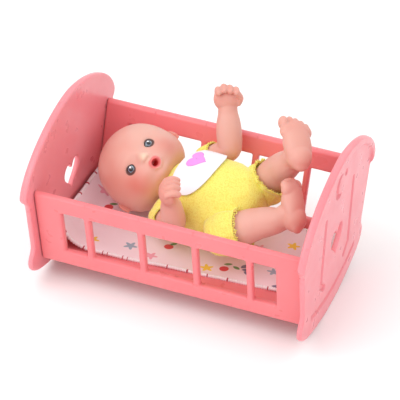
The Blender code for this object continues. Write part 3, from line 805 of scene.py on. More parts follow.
path = edge_path(2400)
points, faces = rope(path, 0.0050, 300, 0.55)
overlock = piece("quilt_overlock", points * L + (0, 0, GROUND), faces, weld=0)
beat = np.sin(np.arange(2400) * 2 * math.pi * 37 / 2400) + np.sin(np.arange(2400) * 2 * math.pi * 151 / 2400)
paint(overlock, "red_thread", np.repeat(np.where(beat > 1.55, 1.0, 0.0), 8))
thread = Finish("overlock thread", tint(250, 242, 244), 0.8)
thread.link(thread.mix(thread.read("red_thread"), tint(250, 240, 243), tint(190, 60, 80)), "Base Color")
thread.bump(thread.noise(5000.0), 0.3, 0.0001)
dress(overlock, thread)
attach(overlock, "cradle")
print("overlock", len(overlock.data.polygons), "faces")

# %% [markdown]
# The doll's skin is soft matte vinyl: peach with a sprayed blush on cheeks, hands, knees and
# feet. Light goes a little way into it, so it gets subsurface scattering. The blush is a
# painted value on the points, worked out from their distance to a few spots.

# %% Vinyl
def vinyl(name):
    skin = Finish(name, tint(230, 186, 170), 0.48)
    skin.shader.inputs["Subsurface Weight"].default_value = 0.25
    skin.shader.inputs["Subsurface Radius"].default_value = (1.0, 0.45, 0.30)
    skin.shader.inputs["Subsurface Scale"].default_value = 0.0022
    skin.shader.inputs["Specular IOR Level"].default_value = 0.35
    mottled = skin.mix(skin.noise(90.0), tint(232, 188, 174), tint(226, 176, 162))
    blushed = skin.mix(skin.read("blush"), mottled, tint(214, 116, 102))
    skin.bump(skin.noise(1800.0, 3.0), 0.12, 0.0001)
    return skin, blushed


limb_skin, shade = vinyl("limb vinyl")
limb_skin.link(shade, "Base Color")


def near(points, spot, reach):
    """1 at a spot, falling off as a bell over the reach; all in metres."""
    return np.exp(-0.5 * np.sum((points - spot) ** 2, axis=-1) / reach ** 2)


def blush(item, spots, floor=0.12):
    """Paints the sum of a few bells on a piece, kept between the floor and 1."""
    points = places(item)
    total = sum(weight * near(points, spot, reach) for spot, reach, weight in spots)
    paint(item, "blush", np.clip(floor + total, 0, 1))


# %% [markdown]
# The head is one moulding. Its plan at each height is a half ellipse to the front and one to
# the back, set by a short profile. Face features are added along the way outwards as bells:
# a positive bell is a cheek, a brow or a lip, a negative one a socket or the open mouth. The
# ears are small dished discs that the voxel skin joins to the head.

# %% Head
# height, half width, reach to the front, reach to the back, in half head widths
PROFILE = ((-0.87, 0.001, 0.001, 0.001), (-0.86, 0.30, 0.30, 0.28),
           (-0.80, 0.55, 0.52, 0.46), (-0.66, 0.80, 0.80, 0.68),
           (-0.44, 0.97, 0.93, 0.86), (-0.16, 1.03, 0.955, 0.98), (0.14, 1.02, 0.955, 1.03),
           (0.40, 0.960, 0.925, 1.00), (0.64, 0.840, 0.810, 0.88), (0.84, 0.650, 0.63, 0.68),
           (0.98, 0.41, 0.40, 0.42), (1.04, 0.15, 0.15, 0.15), (1.05, 0.001, 0.001, 0.001))
EYE_HALF = 0.118
EYES = {"left": unit((0.385, -0.035, 0.90)), "right": unit((-0.385, -0.035, 0.90))}
MOUTH = np.array([0.035, -0.440, 0.86])
# spot, half width, half height, amount outwards
FACE = [((0.0, -0.145, 0.99), 0.085, 0.075, 0.105), ((0.0, -0.03, 0.99), 0.060, 0.130, 0.030),
        ((0.080, -0.175, 0.97), 0.042, 0.042, 0.034), ((-0.080, -0.175, 0.97), 0.042, 0.042, 0.034),
        ((0.045, -0.235, 0.96), 0.018, 0.016, -0.035), ((-0.045, -0.235, 0.96), 0.018, 0.016, -0.035),
        ((0.47, -0.36, 0.79), 0.20, 0.19, 0.060), ((-0.47, -0.36, 0.79), 0.20, 0.19, 0.060),
        ((0.385, 0.00, 0.90), 0.17, 0.105, -0.050), ((-0.385, 0.00, 0.90), 0.17, 0.105, -0.050),
        ((0.36, 0.17, 0.90), 0.22, 0.07, 0.018), ((-0.36, 0.17, 0.90), 0.22, 0.07, 0.018),
        ((0.0, -0.70, 0.68), 0.16, 0.10, 0.070), ((0.0, -0.575, 0.78), 0.20, 0.04, -0.020),
        ((0.035, -0.440, 0.88), 0.150, 0.120, 0.050)]
LIP_RADIUS, LIP_WIDTH = 0.112, 0.029


def bell(offset, width):
    return np.exp(-0.5 * (offset / width) ** 2)


def lip_distance(local):
    """Distance from the mouth's middle; the upper lip dips in its middle like a bow."""
    x, y = (local[..., 0] - MOUTH[0]) / 1.10, local[..., 1] - MOUTH[1]
    bow = 1 + 0.22 * bell(x, 0.035) * smoothstep(0.02, 0.10, y)
    return np.hypot(x, y) * bow


def head_surface():
    """Direction round times reach at each height, then bells along the way outwards."""
    profile = through(PROFILE, 220)
    angle = np.linspace(-math.pi, math.pi, 300, endpoint=False)[None, :]
    height, width, front, behind = (profile[:, k:k + 1] for k in range(4))
    facing = 0.5 + 0.5 * np.tanh(np.cos(angle) * 6)
    reach = behind + (front - behind) * facing
    local = np.stack([np.maximum(width, 1e-4) * np.sin(angle),
                      height + 0 * angle, np.maximum(reach, 1e-4) * np.cos(angle)], axis=-1)
    outward = unit(local)
    grow = np.zeros(local.shape[:2])
    ahead = local[..., 2] > 0
    for (x, y, _), half_x, half_y, amount in FACE:
        grow += amount * bell(local[..., 0] - x, half_x) * bell(local[..., 1] - y, half_y) * ahead
    mouth = lip_distance(local)
    grow += 0.042 * bell(mouth - LIP_RADIUS, LIP_WIDTH) * ahead
    grow -= 0.230 * (1 - smoothstep(0.036, 0.094, mouth)) * ahead
    local = local + outward * grow[..., None]
    return on_head(local.reshape(-1, 3)), grid_faces(220, 300, wrap_columns=True)


def ear_surfaces(side):
    """A dished disc (an egg), its rolled rim (a bent tube) and a small lobe."""
    middle = np.array([side * 0.985, -0.17, -0.10])
    lean = unit((side * 0.85, 0.0, -0.50))
    axes = np.array([unit(np.cross((0, 1, 0), lean)), (0, 1, 0), lean])
    turn = np.linspace(-0.9, 3.9, 9)
    rim = [(*(middle + axes[0] * -0.115 * math.cos(t) * side + axes[1] * 0.165 * math.sin(t)
              + lean * 0.062), 0.036, 0.036) for t in turn]
    disc = egg(middle, axes, (0.115, 0.165, 0.045))
    lobe = egg(middle + (0, -0.15, 0.035), np.eye(3), (0.045, 0.055, 0.045))
    roll = tube(rim, (0, 0, 1.0), 40, 16)
    return [(on_head(points), faces) for points, faces in (disc, lobe, roll)]


head = fused("head_moulding", [head_surface(), *ear_surfaces(1), *ear_surfaces(-1)], 0.00034, 3)
print("head", len(head.data.polygons), "faces")

# %% [markdown]
# Paint on the head: a strong blush on the cheeks, the ears and the lips, coral lips round a
# red mouth, fine lashes over each eye, and a painted highlight that makes the tip of the nose
# paler. All are worked out in the head's own axes.

# %% Face paint
local = (places(head) - head_middle) @ HEAD.T / (HEAD_HALF * L)
ahead = local[:, 2] > 0
mouth = np.where(ahead, lip_distance(local), 9.0)
rosy = sum(amount * near(local, np.array(spot), reach)
           for spot, reach, amount in (((0.55, -0.38, 0.75), 0.22, 0.55), ((-0.55, -0.38, 0.75), 0.24, 0.62),
                                       ((1.05, -0.2, -0.1), 0.16, 0.6), ((-1.05, -0.2, -0.1), 0.16, 0.6),
                                       ((0.0, 0.35, 0.92), 0.16, 0.18), ((-0.75, 0.15, 0.55), 0.35, 0.35),
                                       ((0.0, -0.70, 0.68), 0.14, 0.25), ((-0.5, 0.0, -0.85), 0.6, 0.35)))
# painted highlight: the tip of the nose is made paler, and its blush is taken down
nose_highlight = near(local, np.array((0.0, -0.15, 1.08)), 0.085)
paint(head, "blush", np.clip(0.10 + rosy - 0.25 * nose_highlight, 0, 1))
paint(head, "lips", 1 - smoothstep(LIP_RADIUS + 0.005, LIP_RADIUS + 0.055, mouth))
paint(head, "mouth", 1 - smoothstep(0.056, 0.088, mouth))
paint(head, "nose_highlight_paint", nose_highlight)


def lash_marks(local):
    """A dark line round each eye, and short strokes that fan out from it over the top."""
    marks = np.zeros(len(local))
    for side, spot in (("left", 1), ("right", -1)):
        dx = (local[:, 0] - EYES[side][0]) * spot
        dy = local[:, 1] - EYES[side][1]
        angle, far = np.arctan2(dy, dx), np.hypot(dx, dy)
        marks += 1 - smoothstep(EYE_HALF - 0.004, EYE_HALF + 0.012, far)
        fan = smoothstep(0.2, 0.5, angle) * (1 - smoothstep(2.2, 2.6, angle))
        stroke = (0.5 + 0.5 * np.cos(angle * 24)) ** 2
        marks += 0.30 * fan * stroke * (1 - smoothstep(EYE_HALF + 0.02, EYE_HALF + 0.05, far))
    return np.where(local[:, 2] > 0, marks, 0)


paint(head, "lashes", np.clip(lash_marks(local), 0, 1))
face_skin, shade = vinyl("face vinyl")
# painted highlight on the nose: a paler skin colour
shade = face_skin.mix(face_skin.read("nose_highlight_paint"), shade, tint(238, 208, 184))
shade = face_skin.mix(face_skin.read("lips"), shade, tint(226, 122, 120))
shade = face_skin.mix(face_skin.read("mouth"), shade, tint(190, 40, 40))
shade = face_skin.mix(face_skin.math("MULTIPLY", face_skin.read("lashes"), 0.9), shade, tint(60, 40, 40))
face_skin.link(shade, "Base Color")
dress(head, face_skin)
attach(head, "head")
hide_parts("head_shell")

# %% [markdown]
# Each eye is a small glossy dome set in its socket. Its colour goes by the distance from
# the dome's middle: black pupil, grey-blue iris with fine rays, and a black rim. A small white
# spot a little up and to one side of the middle is a painted highlight. A clear coat gives it
# the wet look.

# %% Eyes
eye_gloss = Finish("painted eye", tint(90, 110, 130), 0.08)
eye_gloss.shader.inputs["Coat Weight"].default_value = 1.0
eye_gloss.shader.inputs["Coat Roughness"].default_value = 0.03
across, ray = eye_gloss.read("from_middle"), eye_gloss.read("ray")
iris = eye_gloss.mix(ray, tint(84, 98, 118), tint(140, 154, 168))
iris = eye_gloss.mix(eye_gloss.ranged(across, 0.46, 0.38), iris, tint(14, 16, 20))
iris = eye_gloss.mix(eye_gloss.ranged(across, 0.60, 0.70), iris, tint(22, 22, 26))
# painted highlight: a small white spot mixed over the iris
iris = eye_gloss.mix(eye_gloss.read("painted_glint"), iris, tint(255, 255, 255))
eye_gloss.link(iris, "Base Color")


def eye_dome(side, node):
    """A shallow dome: reach along the gaze = depth * cosine of the way out to its rim."""
    gaze = EYES[side]
    axes = np.array([unit(np.cross((0, 1, 0), gaze)), unit(np.cross(gaze, np.cross((0, 1, 0), gaze))), gaze])
    out = np.linspace(0, 1, 26)[:, None]
    angle = np.linspace(0, 2 * math.pi, 72, endpoint=False)[None, :]
    x = EYE_HALF * 1.06 * out * np.cos(angle)
    y = EYE_HALF * 0.96 * out * np.sin(angle)
    depth = 0.900 + 0.070 * np.sqrt(1 - 0.96 * out ** 2) + 0 * angle
    dome = x[..., None] * axes[0] + y[..., None] * axes[1] + depth[..., None] * axes[2]
    flat = dome[::-1] * 0.86
    local = np.concatenate([dome, flat]).reshape(-1, 3)
    item = piece(f"eye_dome_{side}", on_head(local), grid_faces(52, 72, wrap_columns=True), weld=0)
    ring = np.concatenate([out + 0 * angle, (out + 0 * angle)[::-1]])
    rays = 0.5 + 0.5 * np.cos(18 * angle) * np.cos(7 * angle + 1.0) + 0 * ring
    # distance to the painted highlight's spot, a little up and to one side of the eye's middle
    glint_distance = np.hypot(np.concatenate([x, x[::-1]]) - 0.030, np.concatenate([y, y[::-1]]) - 0.045)
    paint(item, "from_middle", ring.ravel())
    paint(item, "ray", np.clip(rays * smoothstep(0.3, 0.55, ring), 0, 1).ravel())
    paint(item, "painted_glint", (1 - smoothstep(0.018, 0.028, glint_distance)).ravel())
    dress(item, eye_gloss)
    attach(item, "head")
    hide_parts(node)
    return item


eyes = [eye_dome(side, f"eye_{side}") for side in ("left", "right")]
print("eyes", [len(item.data.polygons) for item in eyes])

# %% [markdown]
# Arms and legs start as smooth tubes: a station gives a place and two radii, and a cubic runs
# through them all, so the creases at the wrist, the elbow and the knee are simply narrow
# stations. Palms, heels, fingers and toes are eggs and short bent tubes. One voxel skin then
# joins them, and the dips between neighbours become the creases of the moulding.

# %% Arms
ARM = 0.043


def to_doll(direction):
    """A direction of the row frame in the doll's own axes."""
    return DOLL @ unit(direction)


def hand(wrist, along, palm, thumb_side):
    """A loose fist: a palm, four curled fingers and a thumb, in the doll's own axes."""
    across = np.cross(along, palm) * thumb_side
    axes = np.array([along, across, palm])
    parts = [egg(wrist + along * 0.036 - palm * 0.002, axes, (0.048, 0.050, 0.034))]
    for k in range(4):
        row = (k - 1.5) * 0.0215
        length = 1.0 - 0.10 * abs(k - 1.2)
        reach = (0.052, 0.076 * length, 0.084 * length, 0.072 * length)
        curl = (-0.010, -0.004, 0.018, 0.034)
        line = [(*(wrist + along * a + palm * c + across * row), 0.0125, 0.0120)
                for a, c in zip(reach, curl)]
        parts.append(tube(line, across, 24, 16))
        parts.append(egg(wrist + along * reach[3] + palm * curl[3] + across * row, axes,
                         (0.0115, 0.0115, 0.012), 10, 14))
    thumb = [(*(wrist + along * a + palm * c + across * w), 0.0125, 0.0125)
             for a, c, w in ((0.014, 0.004, 0.036), (0.036, 0.018, 0.046), (0.056, 0.030, 0.036))]
    parts.append(tube(thumb, palm, 24, 16))
    parts.append(egg(wrist + along * 0.056 + palm * 0.030 + across * 0.036, axes,
                     (0.012, 0.0125, 0.012), 10, 14))
    return parts


WRIST = 0.150
# along the forearm from the elbow: distance, then thickness and width in arm radii
FOREARM = ((0.022, 1.02, 1.06), (0.060, 0.98, 1.10), (0.100, 0.90, 1.02), (0.132, 0.74, 0.86),
           (WRIST, 0.70, 0.82), (0.172, 0.62, 0.80))


def arm(name, side, elbow, forearm, palm, thumb_side, body, node):
    """One tube from the shoulder round the elbow to the wrist, joined to its hand."""
    shoulder = SHOULDER * (side, 1, 1)
    elbow, along = np.array(elbow), to_doll(forearm)
    upper = unit(elbow - shoulder)
    palm = to_doll(palm)
    palm = unit(palm - along * (palm @ along))
    stations = [(*(shoulder - upper * 0.040), 0.012, 0.012), (*(shoulder - upper * 0.030), 0.028, 0.028),
                (*shoulder, ARM * 0.95, ARM * 0.95), (*(shoulder + upper * 0.03), ARM, ARM),
                (*(elbow - upper * 0.010), ARM, ARM * 1.02)]
    stations += [(*(elbow + along * reach), ARM * thick, ARM * wide) for reach, thick, wide in FOREARM]
    wrist = elbow + along * WRIST
    parts = [tube(stations, palm, 70, 40), *hand(wrist, along, palm, thumb_side)]
    item = fused(name, [(on_doll(points), faces) for points, faces in parts], 0.00030, 2)
    blush(item, [(on_doll(wrist + along * 0.06), 0.045 * L, 0.45), (on_doll(elbow), 0.05 * L, 0.30)])
    dress(item, limb_skin)
    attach(item, body)
    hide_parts(node)
    print(name, len(item.data.polygons), "faces")
    return item


arm("arm_moulding_left", 1, (0.192, 0.016, 0.060), (-0.240, 0.360, 0.900),
    (0.40, -0.85, 0.30), 1, "arm_left", "arm_left")
arm("arm_moulding_right", -1, (-0.192, 0.016, 0.060), (0.000, -0.370, 0.930),
    (0.80, 0.30, 0.20), 1, "arm_right", "arm_right")

# %% [markdown]
# A leg is a plump thigh, a crease under the knee, a calf and an ankle crease. The foot is a
# heel egg and a ball egg with a row of five toes.

# %% Legs
THIGH = 0.062
# the five toes, big toe first: radius, place across the sole, distance from its middle
TOE_SIZES = (0.0205, 0.0165, 0.0158, 0.0150, 0.0140)
TOE_ROWS = (0.043, 0.018, -0.004, -0.025, -0.044)
TOE_REACH = (0.122, 0.127, 0.123, 0.116, 0.106)


def leg(name, side, direction, toe_hint, big_toe, body, node):
    hip = HIP * (side, 1, 1)
    along, toward = to_doll(direction), to_doll(toe_hint)
    toward = unit(toward - along * (toward @ along))
    across = np.cross(along, toward) * big_toe
    stations = [(-0.050, 0.020, 0.020, 0), (-0.035, 0.045, 0.045, 0), (0.0, THIGH, THIGH, 0),
                (0.050, THIGH, THIGH * 1.02, 0.003), (0.090, THIGH * 0.96, THIGH * 0.98, 0.006),
                (0.118, THIGH * 0.90, THIGH * 0.92, 0.006), (0.150, THIGH * 0.86, THIGH * 0.90, 0.004),
                (0.185, THIGH * 0.76, THIGH * 0.80, 0.001), (0.206, THIGH * 0.68, THIGH * 0.74, 0.002),
                (0.230, THIGH * 0.74, THIGH * 0.76, 0.006), (0.255, THIGH * 0.66, THIGH * 0.70, 0.010)]
    line = [(*(hip + along * s + toward * shift), r1, r2) for s, r1, r2, shift in stations]
    axes = np.array([toward, across, along])
    sole = hip + along * 0.258
    parts = [tube(line, toward, 80, 44),
             egg(sole + toward * -0.008, axes, (0.050, 0.047, 0.042)),
             egg(sole + toward * 0.045 - along * 0.002, axes, (0.068, 0.054, 0.036)),
             egg(sole + toward * 0.088, axes, (0.040, 0.062, 0.029)),
             egg(sole + toward * 0.034 + along * 0.004, axes, (0.100, 0.052, 0.033))]
    for k in range(5):
        size, row, reach = TOE_SIZES[k], TOE_ROWS[k], TOE_REACH[k]
        parts.append(egg(sole + toward * reach + across * row - along * 0.004, axes,
                         (size * 1.25, size * 0.86, size * 1.10), 14, 20))
    item = fused(name, [(on_doll(points), faces) for points, faces in parts], 0.00034, 5)
    blush(item, [(on_doll(sole + toward * 0.11), 0.05 * L, 0.40),
                 (on_doll(sole - toward * 0.02), 0.045 * L, 0.35),
                 (on_doll(hip + along * 0.11 + toward * 0.05), 0.04 * L, 0.35)])
    dress(item, limb_skin)
    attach(item, body)
    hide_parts(node)
    print(name, len(item.data.polygons), "faces")
    return item


leg("leg_moulding_left", 1, (0.518, -0.310, 0.797), (-0.410, 0.728, 0.551), 1,
    "leg_left", "leg_left")
leg("leg_moulding_right", -1, (0.876, 0.074, 0.477), (-0.379, 0.718, 0.585), -1,
    "leg_right", "leg_right")
for node in ("torso_shell", "neck_plug"):
    dress(frame["nodes"][node], limb_skin)

# %% [markdown]
# The romper is yellow terry towelling. Its body is a puffed tube round the doll, with short
# stumps where the limbs leave it, all under one voxel skin. The cloth is slack, so a few slow
# folds run up from the crotch and the hips: sums of sines along the doll's own directions.

# %% Terry
def terry(name, light, deep, pitch=1350.0):
    """Loops as the cells of a Voronoi pattern: each loop is a bump, and painted shade darkens the rims
    between loops.
    """
    cloth = Finish(name, light, 0.95)
    cloth.shader.inputs["Sheen Weight"].default_value = 0.45
    cloth.shader.inputs["Sheen Roughness"].default_value = 0.4
    cloth.shader.inputs["Specular IOR Level"].default_value = 0.15
    cloth.shader.inputs["Subsurface Weight"].default_value = 0.12
    cloth.shader.inputs["Subsurface Scale"].default_value = 0.0015
    loops = cloth.add("ShaderNodeTexVoronoi", Scale=pitch, Randomness=0.85,
                      Vector=cloth.place).outputs["Distance"]
    # painted shade: the yellow darkens towards the rims of the Voronoi cells, in the dips between loops
    loop_rim_shade = cloth.ranged(loops, 0.35, 0.85)
    patch = cloth.mix(cloth.noise(60.0), light, deep)
    shaded_terry = cloth.mix(loop_rim_shade, patch, tint(236, 220, 98))
    cloth.link(shaded_terry, "Base Color")
    cloth.bump(cloth.math("SUBTRACT", 1.0, loops), 0.55, 0.0003)
    return cloth


romper_terry = terry("romper terry", tint(248, 242, 132), tint(244, 235, 118))

# %% Romper body
# height along the spine, half width, half depth, push to the front
BODY = ((-0.228, 0.030, 0.040, 0.020), (-0.215, 0.080, 0.080, 0.020), (-0.180, 0.122, 0.110, 0.018),
        (-0.130, 0.144, 0.128, 0.014), (-0.070, 0.150, 0.138, 0.010), (0.000, 0.148, 0.142, 0.008),
        (0.060, 0.138, 0.136, 0.008), (0.105, 0.116, 0.114, 0.006), (0.136, 0.078, 0.082, 0.004),
        (0.146, 0.030, 0.030, 0.002))
SQUARE = 0.88


def body_surface():
    """At each height a slightly squared ellipse, flattened where the back lies on the quilt."""
    rows = through(BODY, 90)
    angle = np.linspace(0, 2 * math.pi, 120, endpoint=False)[None, :]
    height, width, depth, push = (rows[:, k:k + 1] for k in range(4))
    across = np.sign(np.cos(angle)) * np.abs(np.cos(angle)) ** SQUARE
    z = depth * np.sign(np.sin(angle)) * np.abs(np.sin(angle)) ** SQUARE + push
    z = np.where(z < 0, z * 0.95, z)
    grid = np.stack([width * across, height + 0 * angle, z], axis=-1)
    closed = np.concatenate([np.repeat(grid[:1].mean(1, keepdims=True), 120, 1), grid,
                             np.repeat(grid[-1:].mean(1, keepdims=True), 120, 1)])
    return on_doll(closed.reshape(-1, 3)), grid_faces(92, 120, wrap_columns=True)


def stump(start, along, spots):
    """A short closed tube from inside the body towards a limb."""
    line = [(*(start + along * s), r, r) for s, r in spots]
    points, faces = tube(line, (0.1, 0.3, 1.0), 30, 40)
    return on_doll(points), faces


LEGS = {"left": (HIP, to_doll((0.518, -0.310, 0.797))),
        "right": (HIP * (-1, 1, 1), to_doll((0.876, 0.074, 0.477)))}
ELBOWS = {"left": np.array((0.192, 0.016, 0.060)), "right": np.array((-0.192, 0.016, 0.060))}
parts = [body_surface()]
for side, (hip, along) in LEGS.items():
    parts.append(stump(hip, along, ((-0.085, 0.030), (-0.070, 0.066), (-0.030, 0.082),
                                    (0.000, 0.080), (0.012, 0.072), (0.016, 0.030))))
for side, elbow in ELBOWS.items():
    shoulder = SHOULDER * (1 if side == "left" else -1, 1, 1)
    inward = unit(shoulder * (0.35, 0.9, 1) - shoulder)
    parts.append(stump(shoulder, -inward, ((-0.075, 0.030), (-0.055, 0.058), (-0.020, 0.058),
                                           (0.000, 0.050), (0.008, 0.020))))
romper = fused("romper_body", parts, 0.00060, 14)


def folded(item, amount):
    """Moves each point along its normal by a sum of slow sines: the cloth's slack folds."""
    points = places(item)
    normals = np.empty(len(points) * 3)
    item.data.vertex_normals.foreach_get("vector", normals)
    local = (points - doll_middle) @ DOLL.T / L
    x, y, z = local.T
    low = smoothstep(0.02, -0.14, y)
    ridge = 1 - np.abs(np.sin(23 * np.abs(x) + 17 * y + 6 * z + 0.6))
    cross = 1 - np.abs(np.sin(19 * y - 15 * np.abs(x) + 4 * z))
    folds = 1.5 * (ridge ** 2 - 0.3) * low + 1.0 * (cross ** 2 - 0.3) + 0.4 * np.sin(60 * x + 25 * y) * low
    put(item, points + normals.reshape(-1, 3) * (amount * L * folds)[:, None])


folded(romper, 0.0034)
dress(romper, romper_terry)
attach(romper, "doll")
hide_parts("romper")
print("romper", len(romper.data.polygons), "faces")

# %% [markdown]
# Leg openings and sleeves are short cuffs of the same terry. A cuff is a wall carried round
# the limb: out along the outside, over the hem and back inside. Its radius ripples round the
# limb where elastic gathers it. An overlocked fringe of little loops stands on every hem.

# %% Cuffs
def cuff(name, start, along, profile, wall, ripples, node, slant):
    """radius = profile * (1 + ripple * cos(k * angle)), inside wall a cloth's width less.

    A slanted hem lies further along the limb on the side that the slant points to."""
    rows = through(profile, 34)
    first = unit(np.array((0.1, 0.3, 1.0)) - along * (along @ (0.1, 0.3, 1.0)))
    second = np.cross(along, first)
    angle = np.linspace(0, 2 * math.pi, 132, endpoint=False)[None, :]
    station = np.concatenate([rows[:, 0], rows[::-1, 0]])[:, None]
    radius = np.concatenate([rows[:, 1], rows[::-1, 1] - wall])[:, None]
    share = smoothstep(rows[0, 0], rows[-1, 0], station)
    ripple = (0.020 * np.cos(ripples * angle + 0.6) + 0.014 * np.cos((ripples + 4) * angle + 2.1)
              + 0.012 * np.cos(3 * angle)) * (0.35 + 0.65 * share)
    reach = (radius * (1 + ripple))[..., None]
    around = first * np.cos(angle)[..., None] + second * np.sin(angle)[..., None]
    lean = (share * radius * (around @ slant))[..., None]
    points = start + (station[..., None] + lean) * along + reach * around
    item = piece(name, on_doll(points.reshape(-1, 3)), grid_faces(*points.shape[:2], True, True), weld=0)
    dress(item, romper_terry)
    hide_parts(node)
    hem = points[len(rows) - 1]
    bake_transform(item)
    return item, hem


def fringe(name, hem, along, size, limb):
    """Loops on a hem: a fine tube that weaves out and in round the edge many times."""
    count, loops = 1440, 56
    wrapped = np.vstack([hem, hem[:1]])
    steps = np.linspace(0, len(hem), count, endpoint=False)
    line = np.stack([np.interp(steps, np.arange(len(hem) + 1), wrapped[:, k]) for k in range(3)], -1)
    turn = np.linspace(0, 2 * math.pi * loops, count, endpoint=False)
    out = unit(line - line.mean(0))
    wild = 1 + 0.35 * np.sin(turn * 0.37) + 0.25 * np.sin(turn * 0.23 + 1)
    line = line + along * (size * (0.2 + 0.8 * np.abs(np.sin(turn / 2))) * wild)[:, None]
    line = line + out * (size * 0.35 * np.sin(turn))[:, None]
    points, faces = rope(on_doll(line) / L, 0.0017, 1, 0.0, 6)
    item = piece(name, points * L, faces, weld=0)
    dress(item, romper_terry)
    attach(item, limb)
    return item


LEG_CUFF = ((-0.050, 0.070), (-0.032, 0.080), (-0.010, 0.0845), (0.014, 0.0820), (0.028, 0.0775),
            (0.036, 0.0770), (0.044, 0.0800), (0.050, 0.0790))
SLEEVE = ((-0.034, 0.036), (-0.022, 0.048), (-0.006, 0.0525), (0.010, 0.0530), (0.022, 0.0520),
          (0.030, 0.0525), (0.036, 0.0520))
LEG_SLANT = {"left": np.array((-0.35, -0.45, 0.40)), "right": np.array((0.0, 0.10, 0.0))}
cuffs = []
for side, (hip, along) in LEGS.items():
    made, hem = cuff(f"leg_cuff_{side}", hip, along, LEG_CUFF, 0.007, 11,
                     f"leg_hem_{side}", LEG_SLANT[side])
    cuffs += [made, fringe(f"leg_fringe_{side}", hem, along, 0.010, f"leg_{side}")]
for side, elbow in ELBOWS.items():
    shoulder = SHOULDER * (1 if side == "left" else -1, 1, 1)
    along = unit(elbow - shoulder)
    made, hem = cuff(f"sleeve_{side}", shoulder, along, SLEEVE, 0.006, 9,
                     f"sleeve_hem_{side}", np.zeros(3))
    cuffs += [made, fringe(f"sleeve_fringe_{side}", hem, along, 0.006, f"arm_{side}")]
print("cuffs", [item.name for item in cuffs])

# %% [markdown]
# A rib-knit band closes the neck: a ring whose surface waves finely across its width.

# %% Neck band
def neck_band():
    """A ring over the romper's neck; its radius ripples as ribs of knitting do."""
    angle = np.linspace(0, 2 * math.pi, 480, endpoint=False)[None, :]
    round_wall = np.linspace(0, 2 * math.pi, 20, endpoint=False)[:, None]
    rib = 1 + 0.10 * np.cos(64 * angle)
    bulge = 0.0085 * np.cos(round_wall) * rib
    width, depth, height = 0.079, 0.081, 0.134
    points = np.stack([(width + bulge) * np.cos(angle), height + 0.010 * np.sin(round_wall) + 0 * angle,
                       (depth + bulge) * np.sin(angle)], axis=-1)
    item = piece("neck_rib", on_doll(points.reshape(-1, 3)), grid_faces(20, 480, True, True), weld=0)
    dress(item, romper_terry)
    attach(item, "doll")
    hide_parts("romper_neck_band")
    return item


neck_band()

# %% [markdown]
# The bib is an oval of white cotton stitched on the romper's chest, and a printed heart sits
# on it. Both start as flat grids in front of the doll and are laid on the romper by the
# Shrinkwrap modifier, which drops every point onto the nearest cloth below it. Solidify then
# gives the cloth its thickness.

# %% Bib and heart
def laid_on(item, base, gap, thickness):
    """Drops a flat grid onto the piece below it, then gives it a cloth's thickness."""
    drop = item.modifiers.new("laid on", "SHRINKWRAP")
    drop.target, drop.wrap_method = base, "NEAREST_SURFACEPOINT"
    drop.wrap_mode, drop.offset = "ABOVE_SURFACE", gap
    soften = item.modifiers.new("smooth", "SMOOTH")
    soften.factor, soften.iterations = 0.5, 6
    wall = item.modifiers.new("cloth", "SOLIDIFY")
    wall.thickness, wall.offset = thickness, 1.0
    return settle(item)


def patch(name, outline, middle, front, rows=40):
    """A disc of rings: each is the outline shrunk towards the middle, on a crowned sheet."""
    share = np.linspace(0.001, 1, rows)[:, None, None]
    flat = middle + (outline - middle) * share
    bend = flat[..., 0] / ROUND
    points = np.stack([front * np.sin(bend), flat[..., 1], front * np.cos(bend)], axis=-1)
    return piece(name, on_doll(points.reshape(-1, 3)), grid_faces(rows, len(outline), False, True),
                 weld=2e-6)


ROUND = 0.150
BIB_MIDDLE, HEART_MIDDLE_Y = np.array((0.024, 0.040)), 0.048
t = np.linspace(0, 2 * math.pi, 181)[:-1]
rounder = 0.86
bib_outline = BIB_MIDDLE + np.stack([0.138 * np.sign(np.cos(t)) * np.abs(np.cos(t)) ** rounder,
                                     0.084 * np.sign(np.sin(t)) * np.abs(np.sin(t)) ** rounder], -1)
bib = patch("bib_oval", bib_outline, BIB_MIDDLE, 0.156)
laid_on(bib, romper, 0.0006, 0.0009)
t = np.linspace(0, 2 * math.pi, 121)[:-1]
heart_x = 0.043 * np.sin(t) ** 3
heart_y = 0.0028 * (13 * np.cos(t) - 5 * np.cos(2 * t) - 2 * np.cos(3 * t) - np.cos(4 * t))
heart = patch("bib_heart_print", np.stack([heart_x, heart_y], axis=-1) + (0.034, HEART_MIDDLE_Y),
              np.array((0.034, HEART_MIDDLE_Y)), 0.160, 14)
laid_on(heart, bib, 0.00012, 0.0002)

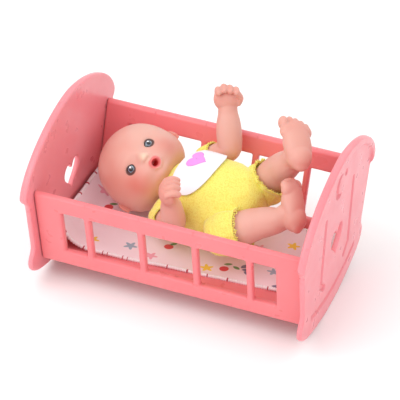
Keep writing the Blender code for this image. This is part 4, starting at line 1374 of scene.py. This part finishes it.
bib_cotton = Finish("bib cotton", tint(248, 247, 250), 0.8)
bib_cotton.shader.inputs["Sheen Weight"].default_value = 0.2
bib_shade = bib_cotton.mix(bib_cotton.noise(40.0), tint(250, 249, 252), tint(242, 241, 247))
bib_cotton.link(bib_shade, "Base Color")
weave = bib_cotton.add("ShaderNodeTexVoronoi", Scale=2200.0, Randomness=0.2,
                       Vector=bib_cotton.place).outputs["Distance"]
bib_cotton.bump(weave, 0.25, 0.0001)
dress(bib, bib_cotton)
heart_ink = Finish("heart ink", tint(236, 152, 232), 0.6)
heart_ink.link(heart_ink.mix(heart_ink.noise(120.0), tint(238, 158, 236), tint(230, 144, 224)), "Base Color")
heart_ink.bump(heart_ink.noise(2200.0), 0.2, 0.0001)
dress(heart, heart_ink)
for item, node, slot in ((bib, "bib", "bib_cloth"), (heart, "bib_heart", "heart_cloth")):
    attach(item, "doll")
    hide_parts(node)
print("bib", len(bib.data.polygons), "heart", len(heart.data.polygons))

# %% [markdown]
# The romper opens down the back. Its closure is a strip of woven tape, hidden under the doll
# as it lies: a narrow band with a stitched line along each side.

# %% Back closure
def back_tape():
    """A strip of the romper's back, from the neck down, with a stitched line painted along each side."""
    rows, columns = 60, 24
    y, x = np.meshgrid(np.linspace(-0.030, 0.090, rows), np.linspace(-0.022, 0.022, columns),
                       indexing="ij")
    strip = np.stack([x, y, -0.150 + 0 * x], axis=-1)
    item = piece("back_tape", on_doll(strip.reshape(-1, 3)), grid_faces(rows, columns), weld=0)
    stitch = bell(np.abs(x) - 0.018, 0.0012) * (np.sin(y * 900) > 0)
    paint(item, "stitch", stitch.ravel())
    laid_on(item, romper, 0.0002, 0.0005)
    return item


tape_weave = Finish("closure tape", tint(240, 240, 232), 0.85)
tape_shade = tape_weave.mix(tape_weave.read("stitch"), tint(240, 240, 232), tint(206, 200, 170))
tape_weave.link(tape_shade, "Base Color")
tape_weave.bump(tape_weave.noise(2600.0), 0.3, 0.0001)
tape = back_tape()
dress(tape, tape_weave)
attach(tape, "doll")
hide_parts("back_closure")
